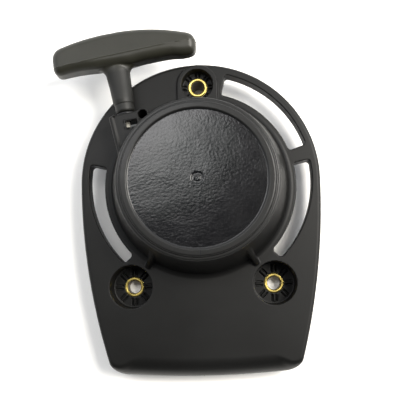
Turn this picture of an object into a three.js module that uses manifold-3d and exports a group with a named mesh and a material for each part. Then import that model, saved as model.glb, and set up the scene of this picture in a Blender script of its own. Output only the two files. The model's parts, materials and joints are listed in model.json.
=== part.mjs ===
// Recoil starter of a 40 to 50 cc brush-cutter engine, in millimetres, +Z up.
// The housing stands on its three mounting bosses at z = 0, with the cup upwards.
// All of it is laid out round the reel axis; the last lines move the middle of the
// whole starter's outline to the origin.
import * as THREE from 'three';
import { mergeVertices } from 'three/addons/utils/BufferGeometryUtils.js';
import Module from 'manifold-3d';

const manifold = await Module();
manifold.setup();

// ---------------------------------------------------------------- driving dimensions
const GAP = 0.3;
const WALL = 2.6;
const CUT_PAST = 1;

// Housing plate: an upper arc, two long side arcs and a shallow bottom arc.
const PLATE_TOP = 20;
const PLATE_UNDERSIDE = PLATE_TOP - WALL;
const SKIRT_LOW = 7;
const RIM_RADIUS = 62.7;
const RIM_CENTRE_Y = 3.2;
const SIDE_RADIUS = { left: 315, right: 341 };
const BOTTOM_Y = -97.8;
const BOTTOM_RADIUS = 520;
const CORNER_RADIUS = 6;
const BOTTOM_ROLL = 10;
const RIB_THICKNESS = 1.8;
const RIB_LOW = 9;

// Cup over the reel.
const CUP_BASE_RADIUS = 45.6;
const CUP_TOP_RADIUS = 40.1;
const CUP_FILLET = 2.4;
const DISC_RADIUS = 34.1;
const DISC_TOP = 46;
const RIM_TOP = 46.8;
const VALLEY_RADIUS = 38.2;
const VALLEY_TOP = 45.5;
const CEILING = DISC_TOP - WALL;
const CUP_SEGMENTS = 40;

// Cooling-air slots: inner arc round the reel axis, outer arc round the plate's own centre.
const SLOT_INNER_RADIUS = 50;
const SLOT_OUTER_RADIUS = 58.3;
const SLOT_WALL = 1.8;
const SLOT_WALL_LOW = 11;
const SLOT_SPANS = [[20, 76], [-43.5, 12], [167, 224.4]];

// Mounting bosses and their brass sleeves for M6 bolts. The top boss is peaked like a keyhole.
const POCKET_PEAK_ANGLE = 25;
const SLEEVE_OUTER_RADIUS = 5.1;
const SLEEVE_BORE_RADIUS = 3.5;
const SLEEVE_CHAMFER = 0.4;
const LOWER_BOSS = { x: 37, y: -51.3, pocketRadius: 11, peak: 0, floor: 7.4, sleeveTop: 8 };
const TOP_BOSS = { x: 0, y: 54.2, pocketRadius: 8.3, peak: POCKET_PEAK_ANGLE, floor: 15, sleeveTop: 15.7 };
const BOSS_WALL = 2.3;
const KEYHOLE_RADIUS = 10.8;
const KEYHOLE_TOP = 21.5;
const KEYHOLE_PEAK_ANGLE = 17.5;
const GUSSET = { angle: -55.8, width: 3, innerRadius: 41.5, outerRadius: 50.7, top: 37 };

// Rope line: it leaves the reel at a tangent and runs along the pull frame's +Y.
const PULL_TILT = THREE.MathUtils.degToRad(10);
const ROPE_LINE_RADIUS = 30.2;
const ROPE_Z = 27;
const ROPE_RADIUS = 1.5;
const ROPE_BORE = 2.1;

// Duct that the rope leaves through, in the pull frame.
const DUCT = { halfWidth: 7.4, innerEnd: 8, front: 42.6, top: 33.5, wall: 2.4 };
const DUCT_WINDOW = { x0: -0.2, x1: 5.8, y0: 34.9, y1: 38.3 };
const GUIDE_SEAT_RADIUS = 3.7;
const LUG = { x: 9.1, y: 40.5, outerRadius: 3.3, boreRadius: 2.2, top: 32.5 };

// Inside the cup, from the ceiling down.
const POST_RADIUS = 5.5;
const POST_END = 11.3;
const SCREW_HOLE_RADIUS = 3.1;
const SCREW_HOLE_TOP = 30;
const REEL = { low: 21, high: 33, flangeRadius: 34, flange: 2.4, grooveRadius: 22.6, bore: 7.1 };
const ARBOR = { radius: 9, top: 41.3 };
const REEL_POCKET = { innerRadius: 11, outerRadius: 20.4, floor: 25, webs: 6, webWidth: 2 };
const SPRING_CASE = { radius: 33, low: 34.4, sheet: 1 };
const SPRING = { innerRadius: 9.8, outerRadius: 30.8, turns: 6, band: 0.6, low: 34.9, high: 41.4 };
const PAWL = { pivotRadius: 17, low: 16, high: 20.6, holeRadius: 2.3, tilt: -13.7, pegReach: 9 };
const PAWL_PEG_RADIUS = 1.3;
const PAWL_SWING = 25;
const GUIDE_PLATE = { radius: 22.5, bore: 6, low: 13.4, high: 15.6, turn: 28 };
const WASHER = { radius: 9, low: 9.7, high: 11 };
const SCREW = { headRadius: 5, headLow: 5.2, shankRadius: 2.8, shankTop: 28 };

// T-handle, in the pull frame: the nose seats on the rope guide.
const NOSE_END = 44.2;
const STEM_TOP = 68.5;
const STEM_FLATTENING = 0.22;
const BAR = { middle: 74, back: 87.3, low: 19.5, high: 34.6, bevel: 2.6 };
const KNOT_POCKET = { radius: 5.2, floor: 74 };
const PLUG_LENGTH = 3.8;

// ---------------------------------------------------------------- solids
function signedVolume(positions, index) {
  const corner = [new THREE.Vector3(), new THREE.Vector3(), new THREE.Vector3()];
  let volume = 0;
  for (let i = 0; i < index.length; i += 3) {
    corner.forEach((point, k) => point.fromArray(positions, 3 * index[i + k]));
    volume += corner[0].dot(corner[1].cross(corner[2])) / 6;
  }
  return volume;
}

// A three.js geometry as a manifold solid, with its faces turned outwards.
function solid(geometry) {
  const bare = geometry.clone();
  bare.deleteAttribute('normal');
  bare.deleteAttribute('uv');
  const merged = mergeVertices(bare, 1e-5);
  const positions = merged.attributes.position.array;
  const source = merged.index.array;
  const index = [];
  for (let i = 0; i < source.length; i += 3) {
    const [a, b, c] = [source[i], source[i + 1], source[i + 2]];
    if (a !== b && b !== c && c !== a) index.push(a, b, c);
  }
  if (signedVolume(positions, index) < 0) index.reverse();
  const mesh = new manifold.Mesh({
    numProp: 3,
    vertProperties: new Float32Array(positions),
    triVerts: new Uint32Array(index),
  });
  mesh.merge();
  return new manifold.Manifold(mesh);
}

// A mesh's geometry, from a manifold solid or from a three.js geometry of one closed body.
function geometryOf(piece) {
  const mesh = (piece.isBufferGeometry ? solid(piece) : piece).getMesh();
  const geometry = new THREE.BufferGeometry();
  geometry.setAttribute('position', new THREE.BufferAttribute(new Float32Array(mesh.vertProperties), 3));
  geometry.setIndex(new THREE.BufferAttribute(new Uint32Array(mesh.triVerts), 1));
  geometry.computeVertexNormals();
  return geometry;
}

const joined = (pieces) => pieces.reduce((all, piece) => all.add(piece));

function extrude(shape, low, high, curveSegments = 24) {
  const options = { depth: high - low, bevelEnabled: false, curveSegments };
  return new THREE.ExtrudeGeometry(shape, options).translate(0, 0, low);
}

// A profile of [radius, z] points turned about the Z axis.
function turned(profile, segments = 32) {
  const points = profile.map(([radius, z]) => new THREE.Vector2(radius, z));
  return new THREE.LatheGeometry(points, segments).rotateX(Math.PI / 2);
}

// A closed ring section turned about the Z axis.
const turnedRing = (profile, segments) => turned([...profile, profile[0]], segments);

function rod(radius, low, high, x = 0, y = 0, segments = 32) {
  const geometry = new THREE.CylinderGeometry(radius, radius, high - low, segments);
  return geometry.rotateX(Math.PI / 2).translate(x, y, (low + high) / 2);
}

function block(x0, x1, y0, y1, z0, z1) {
  const geometry = new THREE.BoxGeometry(x1 - x0, y1 - y0, z1 - z0);
  return geometry.translate((x0 + x1) / 2, (y0 + y1) / 2, (z0 + z1) / 2);
}

// A profile of [radius, distance along the rope line] turned about the rope line.
function turnedOnRope(profile, segments = 24) {
  const points = profile.map(([radius, along]) => new THREE.Vector2(radius, along));
  return new THREE.LatheGeometry(points, segments).translate(0, 0, ROPE_Z);
}

// Pull frame to the housing's own frame.
const pullFoot = new THREE.Vector3(
  -ROPE_LINE_RADIUS * Math.cos(PULL_TILT),
  -ROPE_LINE_RADIUS * Math.sin(PULL_TILT),
  0,
);
const fromPullFrame = (geometry) => geometry.rotateZ(PULL_TILT).translate(pullFoot.x, pullFoot.y, 0);

// ---------------------------------------------------------------- housing
function circlesMeet(x1, y1, r1, x2, y2, r2) {
  const distance = Math.hypot(x2 - x1, y2 - y1);
  const along = (r1 * r1 - r2 * r2 + distance * distance) / (2 * distance);
  const across = Math.sqrt(r1 * r1 - along * along);
  const [ux, uy] = [(x2 - x1) / distance, (y2 - y1) / distance];
  return [x1 + along * ux + across * uy, y1 + along * uy - across * ux];
}

// Where one of the plate's two lower corners is centred, and the directions of the arcs beside it.
function lowerCorner(sideRadius) {
  const sideX = RIM_RADIUS - sideRadius;
  const bottomY = BOTTOM_Y + BOTTOM_RADIUS;
  const [x, y] = circlesMeet(
    sideX, RIM_CENTRE_Y, sideRadius - CORNER_RADIUS,
    0, bottomY, BOTTOM_RADIUS - CORNER_RADIUS,
  );
  return { sideX, x, y, side: Math.atan2(RIM_CENTRE_Y - y, x - sideX), base: Math.atan2(x, bottomY - y) };
}

function plateOutline(inset) {
  const left = lowerCorner(SIDE_RADIUS.left);
  const right = lowerCorner(SIDE_RADIUS.right);
  const down = 1.5 * Math.PI;
  const corner = CORNER_RADIUS - inset;
  const arc = (x, y, radius, from, to, steps) => Array.from({ length: steps + 1 }, (_, i) => {
    const angle = from + ((to - from) * i) / steps;
    return new THREE.Vector2(x + radius * Math.cos(angle), y + radius * Math.sin(angle));
  });
  return new THREE.Shape([
    ...arc(0, RIM_CENTRE_Y, RIM_RADIUS - inset, 0, Math.PI, 26),
    ...arc(-left.sideX, RIM_CENTRE_Y, SIDE_RADIUS.left - inset, Math.PI, Math.PI + left.side, 5),
    ...arc(-left.x, left.y, corner, Math.PI + left.side, down - left.base, 5),
    ...arc(0, BOTTOM_Y + BOTTOM_RADIUS, BOTTOM_RADIUS - inset, down - left.base, down + right.base, 5),
    ...arc(right.x, right.y, corner, down + right.base, 2 * Math.PI - right.side, 5),
    ...arc(right.sideX, RIM_CENTRE_Y, SIDE_RADIUS.right - inset, 2 * Math.PI - right.side, 2 * Math.PI, 5),
  ]);
}

// A circle with two tangents that meet in a blunt peak towards +Y.
function peakedCircle(radius, peakDegrees, x, y) {
  const peak = THREE.MathUtils.degToRad(peakDegrees);
  const shape = new THREE.Shape();
  shape.absarc(x, y, radius, Math.PI / 2 + peak, 2.5 * Math.PI - peak);
  shape.lineTo(x, y + radius / Math.cos(peak));
  return shape;
}

// The corner that is missing where the plate rolls over at its bottom edge, on the
// outside with no inset and inside the shell with the wall as the inset.
function bottomRollCut(inset) {
  const startY = BOTTOM_Y + BOTTOM_ROLL;
  const centreZ = PLATE_TOP - BOTTOM_ROLL;
  const shape = new THREE.Shape();
  shape.moveTo(startY, PLATE_TOP + CUT_PAST);
  shape.lineTo(BOTTOM_Y - CUT_PAST, PLATE_TOP + CUT_PAST);
  shape.lineTo(BOTTOM_Y - CUT_PAST, centreZ);
  shape.absarc(startY, centreZ, BOTTOM_ROLL - inset, Math.PI, Math.PI / 2, true);
  const geometry = extrude(shape, -RIM_RADIUS, RIM_RADIUS, 4);
  const turn = new THREE.Matrix4().makeBasis(
    new THREE.Vector3(0, 1, 0), new THREE.Vector3(0, 0, 1), new THREE.Vector3(1, 0, 0),
  );
  return solid(geometry.applyMatrix4(turn));
}

const cupOutside = () => solid(turned([
  [0, PLATE_UNDERSIDE + 0.5], [CUP_BASE_RADIUS + CUP_FILLET, PLATE_UNDERSIDE + 0.5],
  [CUP_BASE_RADIUS + CUP_FILLET, PLATE_TOP],
  [CUP_BASE_RADIUS + 0.3 * CUP_FILLET, PLATE_TOP + 0.3 * CUP_FILLET],
  [CUP_BASE_RADIUS, PLATE_TOP + CUP_FILLET], [CUP_TOP_RADIUS, VALLEY_TOP - 0.6],
  [CUP_TOP_RADIUS - 0.6, VALLEY_TOP], [VALLEY_RADIUS, VALLEY_TOP], [VALLEY_RADIUS - 1, RIM_TOP - 0.3],
  [VALLEY_RADIUS - 2, RIM_TOP], [DISC_RADIUS + 0.5, RIM_TOP], [DISC_RADIUS, DISC_TOP], [0, DISC_TOP],
], CUP_SEGMENTS));

const cupInside = () => solid(turned([
  [0, PLATE_UNDERSIDE - CUT_PAST], [CUP_BASE_RADIUS - WALL, PLATE_UNDERSIDE - CUT_PAST],
  [CUP_BASE_RADIUS - WALL, PLATE_TOP], [CUP_TOP_RADIUS - WALL, CEILING - 1.5],
  [CUP_TOP_RADIUS - WALL - 1.5, CEILING], [0, CEILING],
], CUP_SEGMENTS));

// A slot's outline, grown by a margin for the wall round it.
function slotShape([from, to], margin) {
  const inner = SLOT_INNER_RADIUS - margin;
  const outer = SLOT_OUTER_RADIUS + margin;
  const spread = THREE.MathUtils.radToDeg(margin / SLOT_INNER_RADIUS);
  const start = THREE.MathUtils.degToRad(from - spread);
  const end = THREE.MathUtils.degToRad(to + spread);
  const onOuterArc = (angle) => {
    const reach = circlesMeetRay(angle, outer);
    return Math.atan2(reach * Math.sin(angle) - RIM_CENTRE_Y, reach * Math.cos(angle));
  };
  const outerStart = onOuterArc(start);
  let outerEnd = onOuterArc(end);
  if (outerEnd < outerStart) outerEnd += 2 * Math.PI;
  const shape = new THREE.Shape();
  shape.absarc(0, RIM_CENTRE_Y, outer, outerStart, outerEnd);
  shape.absarc(0, 0, inner, end, start, true);
  return shape;
}

// How far out a ray from the reel axis meets a circle round the plate's centre.
function circlesMeetRay(angle, radius) {
  const along = RIM_CENTRE_Y * Math.sin(angle);
  return along + Math.sqrt(along * along + radius * radius - RIM_CENTRE_Y * RIM_CENTRE_Y);
}

function slotWalls() {
  const shapes = SLOT_SPANS.map((span) => slotShape(span, SLOT_WALL));
  return joined(shapes.map((shape) => solid(extrude(shape, SLOT_WALL_LOW, PLATE_UNDERSIDE + 0.5, 7))));
}

function slotHoles() {
  const shapes = SLOT_SPANS.map((span) => slotShape(span, 0));
  const low = SLOT_WALL_LOW - CUT_PAST;
  return joined(shapes.map((shape) => solid(extrude(shape, low, PLATE_TOP + CUT_PAST, 7))));
}

const bosses = [
  { ...LOWER_BOSS, x: -LOWER_BOSS.x, name: 'bush_left' },
  { ...LOWER_BOSS, name: 'bush_right' },
  { ...TOP_BOSS, name: 'bush_top' },
];

const bossTube = ({ pocketRadius, x, y }) => solid(
  rod(pocketRadius + BOSS_WALL, 0, PLATE_UNDERSIDE + 0.5, x, y, 24),
);

const bossHoles = ({ pocketRadius, floor, peak, x, y }) => joined([
  solid(extrude(peakedCircle(pocketRadius, peak, x, y), floor, KEYHOLE_TOP + CUT_PAST, 24)),
  solid(rod(SLEEVE_OUTER_RADIUS + GAP, -CUT_PAST, floor + CUT_PAST, x, y, 16)),
]);

function keyhole() {
  const head = peakedCircle(KEYHOLE_RADIUS, KEYHOLE_PEAK_ANGLE, 0, TOP_BOSS.y);
  const neck = block(
    -KEYHOLE_RADIUS, KEYHOLE_RADIUS, CUP_TOP_RADIUS, TOP_BOSS.y, PLATE_UNDERSIDE + 0.5, KEYHOLE_TOP,
  );
  return solid(extrude(head, PLATE_UNDERSIDE + 0.5, KEYHOLE_TOP, 24)).add(solid(neck));
}

function gusset(angle) {
  const shape = new THREE.Shape();
  shape.moveTo(GUSSET.innerRadius - WALL, PLATE_TOP - 1);
  shape.lineTo(GUSSET.outerRadius, PLATE_TOP - 1);
  shape.lineTo(GUSSET.outerRadius, PLATE_TOP + 0.4);
  shape.lineTo(GUSSET.innerRadius + 0.5, GUSSET.top);
  shape.lineTo(GUSSET.innerRadius - WALL, GUSSET.top);
  const geometry = extrude(shape, -GUSSET.width / 2, GUSSET.width / 2);
  return solid(geometry.rotateX(Math.PI / 2).rotateZ(THREE.MathUtils.degToRad(angle)));
}

const ductOutside = () => solid(fromPullFrame(
  block(-DUCT.halfWidth, DUCT.halfWidth, DUCT.innerEnd, DUCT.front, PLATE_UNDERSIDE + 0.5, DUCT.top),
));

function ductInside() {
  const half = DUCT.halfWidth - DUCT.wall;
  const window = DUCT_WINDOW;
  const guideSeat = turnedOnRope([
    [0, DUCT.front - DUCT.wall - CUT_PAST], [GUIDE_SEAT_RADIUS, DUCT.front - DUCT.wall - CUT_PAST],
    [GUIDE_SEAT_RADIUS, DUCT.front + CUT_PAST], [0, DUCT.front + CUT_PAST],
  ], 16);
  return joined([
    solid(fromPullFrame(block(
      -half, half, DUCT.innerEnd, DUCT.front - DUCT.wall, PLATE_UNDERSIDE - CUT_PAST, DUCT.top - DUCT.wall,
    ))),
    solid(fromPullFrame(block(
      window.x0, window.x1, window.y0, window.y1, DUCT.top - DUCT.wall - CUT_PAST, DUCT.top + CUT_PAST,
    ))),
    solid(fromPullFrame(guideSeat)),
  ]);
}

function lug() {
  const tube = rod(LUG.outerRadius, PLATE_UNDERSIDE + 0.5, LUG.top, LUG.x, LUG.y, 16);
  return solid(fromPullFrame(tube));
}

const lugBore = () => solid(fromPullFrame(
  rod(LUG.boreRadius, PLATE_TOP, LUG.top + CUT_PAST, LUG.x, LUG.y, 12),
));

function apronRibs() {
  const bottom = BOTTOM_Y + WALL / 2;
  const cupEdge = -CUP_BASE_RADIUS;
  return [-18, 0, 18].map((x) => solid(
    block(x - RIB_THICKNESS / 2, x + RIB_THICKNESS / 2, bottom + 1, cupEdge, RIB_LOW, PLATE_UNDERSIDE + 0.5),
  ));
}

function housing() {
  const plate = solid(extrude(plateOutline(0), SKIRT_LOW, PLATE_TOP)).subtract(bottomRollCut(0));
  const underPlate = solid(extrude(plateOutline(WALL), -CUT_PAST, PLATE_UNDERSIDE));
  const shell = joined([
    plate, cupOutside(), keyhole(), gusset(GUSSET.angle), gusset(180 - GUSSET.angle), ductOutside(), lug(),
  ]);
  const hollow = joined([underPlate.subtract(bottomRollCut(WALL)), cupInside(), ductInside()]);
  const inside = joined([
    slotWalls(), ...bosses.map(bossTube), ...apronRibs(), solid(rod(POST_RADIUS, POST_END, CEILING + 1)),
  ]);
  const holes = joined([
    slotHoles(), ...bosses.map(bossHoles), lugBore(),
    solid(rod(SCREW_HOLE_RADIUS, POST_END - CUT_PAST, SCREW_HOLE_TOP)),
  ]);
  return shell.subtract(hollow).add(inside).subtract(holes);
}

const sleeve = (boss) => turnedRing([
  [SLEEVE_BORE_RADIUS + SLEEVE_CHAMFER, boss.sleeveTop],
  [SLEEVE_OUTER_RADIUS - SLEEVE_CHAMFER, boss.sleeveTop],
  [SLEEVE_OUTER_RADIUS, boss.sleeveTop - SLEEVE_CHAMFER], [SLEEVE_OUTER_RADIUS, 0],
  [SLEEVE_BORE_RADIUS, 0], [SLEEVE_BORE_RADIUS, boss.sleeveTop - SLEEVE_CHAMFER],
], 20);

// ---------------------------------------------------------------- recoil spring and its case
const springCase = () => turnedRing([
  [POST_RADIUS + 2, CEILING - GAP], [SPRING_CASE.radius, CEILING - GAP],
  [SPRING_CASE.radius, SPRING_CASE.low],
  [SPRING_CASE.radius - SPRING_CASE.sheet, SPRING_CASE.low],
  [SPRING_CASE.radius - SPRING_CASE.sheet, CEILING - GAP - SPRING_CASE.sheet],
  [POST_RADIUS + 2, CEILING - GAP - SPRING_CASE.sheet],
], 40);

const springCover = () => turnedRing([
  [ARBOR.radius + 1, REEL.high + 0.5], [SPRING_CASE.radius, REEL.high + 0.5],
  [SPRING_CASE.radius, SPRING_CASE.low - GAP], [ARBOR.radius + 1, SPRING_CASE.low - GAP],
], 40);

function recoilSpring() {
  const steps = SPRING.turns * 20;
  const along = (offset) => Array.from({ length: steps + 1 }, (_, i) => {
    const angle = (2 * Math.PI * SPRING.turns * i) / steps;
    const radius = THREE.MathUtils.lerp(SPRING.innerRadius, SPRING.outerRadius, i / steps) + offset;
    return new THREE.Vector2(radius * Math.cos(angle), radius * Math.sin(angle));
  });
  const outline = [...along(SPRING.band / 2), ...along(-SPRING.band / 2).reverse()];
  return extrude(new THREE.Shape(outline), SPRING.low, SPRING.high);
}

// ---------------------------------------------------------------- reel and rope
function reel() {
  const { low, high, flangeRadius, flange, grooveRadius, bore } = REEL;
  const body = solid(turnedRing([
    [bore, low], [flangeRadius, low], [flangeRadius, low + flange - 0.5], [flangeRadius - 1, low + flange],
    [grooveRadius, low + flange], [grooveRadius, high - flange], [flangeRadius - 1, high - flange],
    [flangeRadius, high - flange + 0.5], [flangeRadius, high],
    [ARBOR.radius, high], [ARBOR.radius, ARBOR.top],
    [bore, ARBOR.top],
  ], 36));
  const pocket = solid(turnedRing([
    [REEL_POCKET.innerRadius, REEL_POCKET.floor], [REEL_POCKET.outerRadius, REEL_POCKET.floor],
    [REEL_POCKET.outerRadius, high + CUT_PAST], [REEL_POCKET.innerRadius, high + CUT_PAST],
  ], 28));
  const webs = Array.from({ length: REEL_POCKET.webs / 2 }, (_, i) => solid(
    block(-REEL_POCKET.outerRadius - 1, REEL_POCKET.outerRadius + 1,
      -REEL_POCKET.webWidth / 2, REEL_POCKET.webWidth / 2, REEL_POCKET.floor - 1, high + 2)
      .rotateZ((2 * Math.PI * i) / REEL_POCKET.webs),
  ));
  const pinHoles = [1, -1].map((side) => solid(
    rod(PAWL.holeRadius, low - CUT_PAST, REEL_POCKET.floor - 0.4, 0, side * PAWL.pivotRadius, 16),
  ));
  return body.subtract(pocket.subtract(joined(webs))).subtract(joined(pinHoles));
}

const ropeCoil = () => turnedRing([
  [REEL.grooveRadius + GAP, REEL.low + REEL.flange + GAP],
  [ROPE_LINE_RADIUS + ROPE_RADIUS - 0.5, REEL.low + REEL.flange + GAP],
  [ROPE_LINE_RADIUS + ROPE_RADIUS, ROPE_Z - 2.4], [ROPE_LINE_RADIUS + ROPE_RADIUS, ROPE_Z + 2.4],
  [ROPE_LINE_RADIUS + ROPE_RADIUS - 0.5, REEL.high - REEL.flange - GAP],
  [REEL.grooveRadius + GAP, REEL.high - REEL.flange - GAP],
], 40);

function ropeLead() {
  const clearOfCoil = 14.6;
  const knotFace = KNOT_POCKET.floor + 1.4;
  const section = new THREE.Shape();
  section.absarc(0, 0, ROPE_RADIUS, 0, 2 * Math.PI);
  const route = new THREE.LineCurve3(
    new THREE.Vector3(0, clearOfCoil, ROPE_Z), new THREE.Vector3(0, knotFace, ROPE_Z),
  );
  return new THREE.ExtrudeGeometry(section, { steps: 8, curveSegments: 4, extrudePath: route });
}

const knot = (radius, length) => new THREE.SphereGeometry(radius, 10, 8).scale(1, length / (2 * radius), 1);

// ---------------------------------------------------------------- pawls and their guide
// A pawl lies along its own +X from the pivot, with its outer edge towards +Y.
function pawl() {
  const shape = new THREE.Shape();
  shape.absarc(0, 0, 3.8, Math.PI / 2, 1.5 * Math.PI);
  shape.lineTo(13.5, -3.2);
  shape.lineTo(18.4, -1.4);
  shape.lineTo(18.9, 1.3);
  shape.quadraticCurveTo(10, 4.6, 0, 3.8);
  const body = solid(extrude(shape, PAWL.low, PAWL.high, 8));
  const peg = solid(rod(PAWL_PEG_RADIUS, GUIDE_PLATE.low - 0.2, PAWL.low + 1, PAWL.pegReach, 0, 12));
  const hole = solid(rod(PAWL.holeRadius, PAWL.low - CUT_PAST, PAWL.high + CUT_PAST, 0, 0, 16));
  return body.add(peg).subtract(hole);
}

// Where the peg is in the guide plate, while the plate turns and the pawl swings out.
function pegPath(share) {
  const tilt = THREE.MathUtils.degToRad(PAWL.tilt + share * PAWL_SWING);
  const turn = THREE.MathUtils.degToRad(share * GUIDE_PLATE.turn);
  const peg = new THREE.Vector2(
    PAWL.pegReach * Math.cos(tilt), PAWL.pivotRadius + PAWL.pegReach * Math.sin(tilt));
  return peg.rotateAround(new THREE.Vector2(), -turn);
}

function camSlot() {
  const width = PAWL_PEG_RADIUS + GAP;
  const shares = Array.from({ length: 9 }, (_, i) => -0.04 + (1.08 * i) / 8);
  const centres = shares.map(pegPath);
  const direction = centres.map((_, i) => {
    const next = centres[Math.min(i + 1, centres.length - 1)];
    return next.clone().sub(centres[Math.max(i - 1, 0)]).normalize();
  });
  const side = (sign) => centres.map((point, i) => new THREE.Vector2(
    point.x - sign * width * direction[i].y, point.y + sign * width * direction[i].x,
  ));
  const band = new THREE.Shape([...side(1), ...side(-1).reverse()]);
  const ends = [centres[0], centres[centres.length - 1]];
  const cutLow = GUIDE_PLATE.low - CUT_PAST;
  const cutHigh = GUIDE_PLATE.high + CUT_PAST;
  return joined([
    solid(extrude(band, cutLow, cutHigh)),
    ...ends.map((point) => solid(rod(width, cutLow, cutHigh, point.x, point.y, 16))),
  ]);
}

function guidePlate() {
  const disc = solid(rod(GUIDE_PLATE.radius, GUIDE_PLATE.low, GUIDE_PLATE.high, 0, 0, 40));
  const bore = solid(rod(GUIDE_PLATE.bore, GUIDE_PLATE.low - CUT_PAST, GUIDE_PLATE.high + CUT_PAST));
  const slot = camSlot();
  return disc.subtract(joined([bore, slot, slot.rotate([0, 0, 180])]));
}

// A spring washer with three waves, between the guide plate and the screw's washer.
function frictionSpring() {
  const [inner, outer, middle, thickness, wave] = [POST_RADIUS + 0.5, 8.3, 12.2, 0.4, 0.5];
  const geometry = turnedRing([
    [inner, middle - thickness / 2], [outer, middle - thickness / 2],
    [outer, middle + thickness / 2], [inner, middle + thickness / 2],
  ], 36);
  const position = geometry.attributes.position;
  for (let i = 0; i < position.count; i += 1) {
    const angle = Math.atan2(position.getY(i), position.getX(i));
    position.setZ(i, position.getZ(i) + wave * Math.cos(3 * angle));
  }
  return geometry;
}

const washer = () => turnedRing([
  [SCREW_HOLE_RADIUS, WASHER.low], [WASHER.radius, WASHER.low],
  [WASHER.radius, WASHER.high], [SCREW_HOLE_RADIUS, WASHER.high],
]);

function screw() {
  const head = solid(rod(SCREW.headRadius, SCREW.headLow, WASHER.low - GAP, 0, 0, 6));
  const shank = solid(rod(SCREW.shankRadius, SCREW.headLow + 1, SCREW.shankTop, 0, 0, 20));
  return head.add(shank);
}

const postBush = () => turnedRing([
  [POST_RADIUS + GAP, REEL.low + 0.2], [REEL.bore - GAP, REEL.low + 0.2],
  [REEL.bore - GAP, ARBOR.top], [POST_RADIUS + GAP, ARBOR.top],
], 28);

// ---------------------------------------------------------------- rope guide and T-handle
const ropeGuide = () => {
  const inner = DUCT.front - DUCT.wall - 0.4;
  const seat = DUCT.front + GAP;
  const profile = [
    [ROPE_BORE + 0.1, inner], [GUIDE_SEAT_RADIUS - GAP, inner], [GUIDE_SEAT_RADIUS - GAP, seat],
    [4.9, seat], [4.9, seat + 0.6], [4.5, seat + 1],
    [ROPE_BORE + 0.7, seat + 1], [ROPE_BORE + 0.1, seat + 0.5],
  ];
  return turnedOnRope([...profile, profile[0]], 28);
};

// The bar's plan: a finger side with a shallow hollow each side of the stem, rounded ends and
// an arched palm side. It is longer on the right.
function barShape() {
  const shape = new THREE.Shape();
  shape.moveTo(-32.1, 74.4);
  shape.quadraticCurveTo(-32.2, 70.2, -28.4, 70.2);
  shape.quadraticCurveTo(-18.5, 71.0, -7.8, 69.2);
  shape.lineTo(8, 68.6);
  shape.quadraticCurveTo(20, 69.6, 30, 68.6);
  shape.quadraticCurveTo(38.6, 66.5, 41.4, 68.1);
  shape.quadraticCurveTo(43.3, 69.4, 43.3, 73.6);
  shape.quadraticCurveTo(43.1, 77.7, 39.8, 79);
  shape.bezierCurveTo(22, 85.9, 2, 90.1, -26.9, 84.9);
  shape.quadraticCurveTo(-32.0, 83.8, -32.1, 77.5);
  return shape;
}

// The stem is round at its nose and flatter where it meets the bar.
function flattenedStem(geometry) {
  const position = geometry.attributes.position;
  for (let i = 0; i < position.count; i += 1) {
    const share = THREE.MathUtils.smoothstep(position.getY(i), NOSE_END + 5, STEM_TOP - 3);
    position.setZ(i, ROPE_Z + (position.getZ(i) - ROPE_Z) * (1 - STEM_FLATTENING * share));
  }
  return geometry;
}

function handleGrip() {
  const { low, high, bevel } = BAR;
  const bar = new THREE.ExtrudeGeometry(barShape(), {
    depth: high - low - 2 * bevel, bevelThickness: bevel, bevelSize: bevel, bevelOffset: -bevel,
    bevelSegments: 2, curveSegments: 6,
  }).translate(0, 0, low + bevel);
  const stem = flattenedStem(turnedOnRope([
    [0, NOSE_END], [4.2, NOSE_END], [4.9, NOSE_END + 1], [4.9, NOSE_END + 4.3], [5.5, NOSE_END + 6.8],
    [5.7, NOSE_END + 13.8], [6.3, STEM_TOP - 4.5], [7.3, STEM_TOP], [7.3, BAR.middle], [0, BAR.middle],
  ]));
  const bore = turnedOnRope([
    [0, NOSE_END - CUT_PAST], [ROPE_BORE, NOSE_END - CUT_PAST], [ROPE_BORE, KNOT_POCKET.floor],
    [KNOT_POCKET.radius, KNOT_POCKET.floor], [KNOT_POCKET.radius, BAR.back + CUT_PAST],
    [0, BAR.back + CUT_PAST],
  ]);
  return solid(bar).add(solid(stem)).subtract(solid(bore));
}

const knotWasher = () => {
  const low = KNOT_POCKET.floor + GAP;
  const profile = [
    [ROPE_BORE, low], [KNOT_POCKET.radius - 0.5, low],
    [KNOT_POCKET.radius - 0.5, low + 1.2], [ROPE_BORE, low + 1.2],
  ];
  return turnedOnRope([...profile, profile[0]], 20);
};

const handlePlug = () => {
  const outer = KNOT_POCKET.radius - GAP;
  const end = BAR.back - GAP;
  return turnedOnRope([
    [0, end - PLUG_LENGTH], [outer, end - PLUG_LENGTH], [outer, end - 1],
    [outer - 1.2, end - 0.2], [0, end],
  ], 20);
};

// ---------------------------------------------------------------- the assembly
const finishes = {
  housingPlastic: { color: 0x3b3b3a, roughness: 0.5, metalness: 0 },
  handlePlastic: { color: 0x4a4a46, roughness: 0.55, metalness: 0 },
  reelPlastic: { color: 0x2a2a2c, roughness: 0.45, metalness: 0 },
  brass: { color: 0xc8a24a, roughness: 0.25, metalness: 1 },
  steel: { color: 0x9a9ca0, roughness: 0.35, metalness: 1 },
  springSteel: { color: 0x5b626c, roughness: 0.3, metalness: 1 },
  rope: { color: 0xd8d4c8, roughness: 0.9, metalness: 0 },
};

function node(name, piece, finish) {
  const mesh = new THREE.Mesh(geometryOf(piece), new THREE.MeshStandardMaterial(finishes[finish]));
  mesh.name = name;
  return mesh;
}

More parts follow.
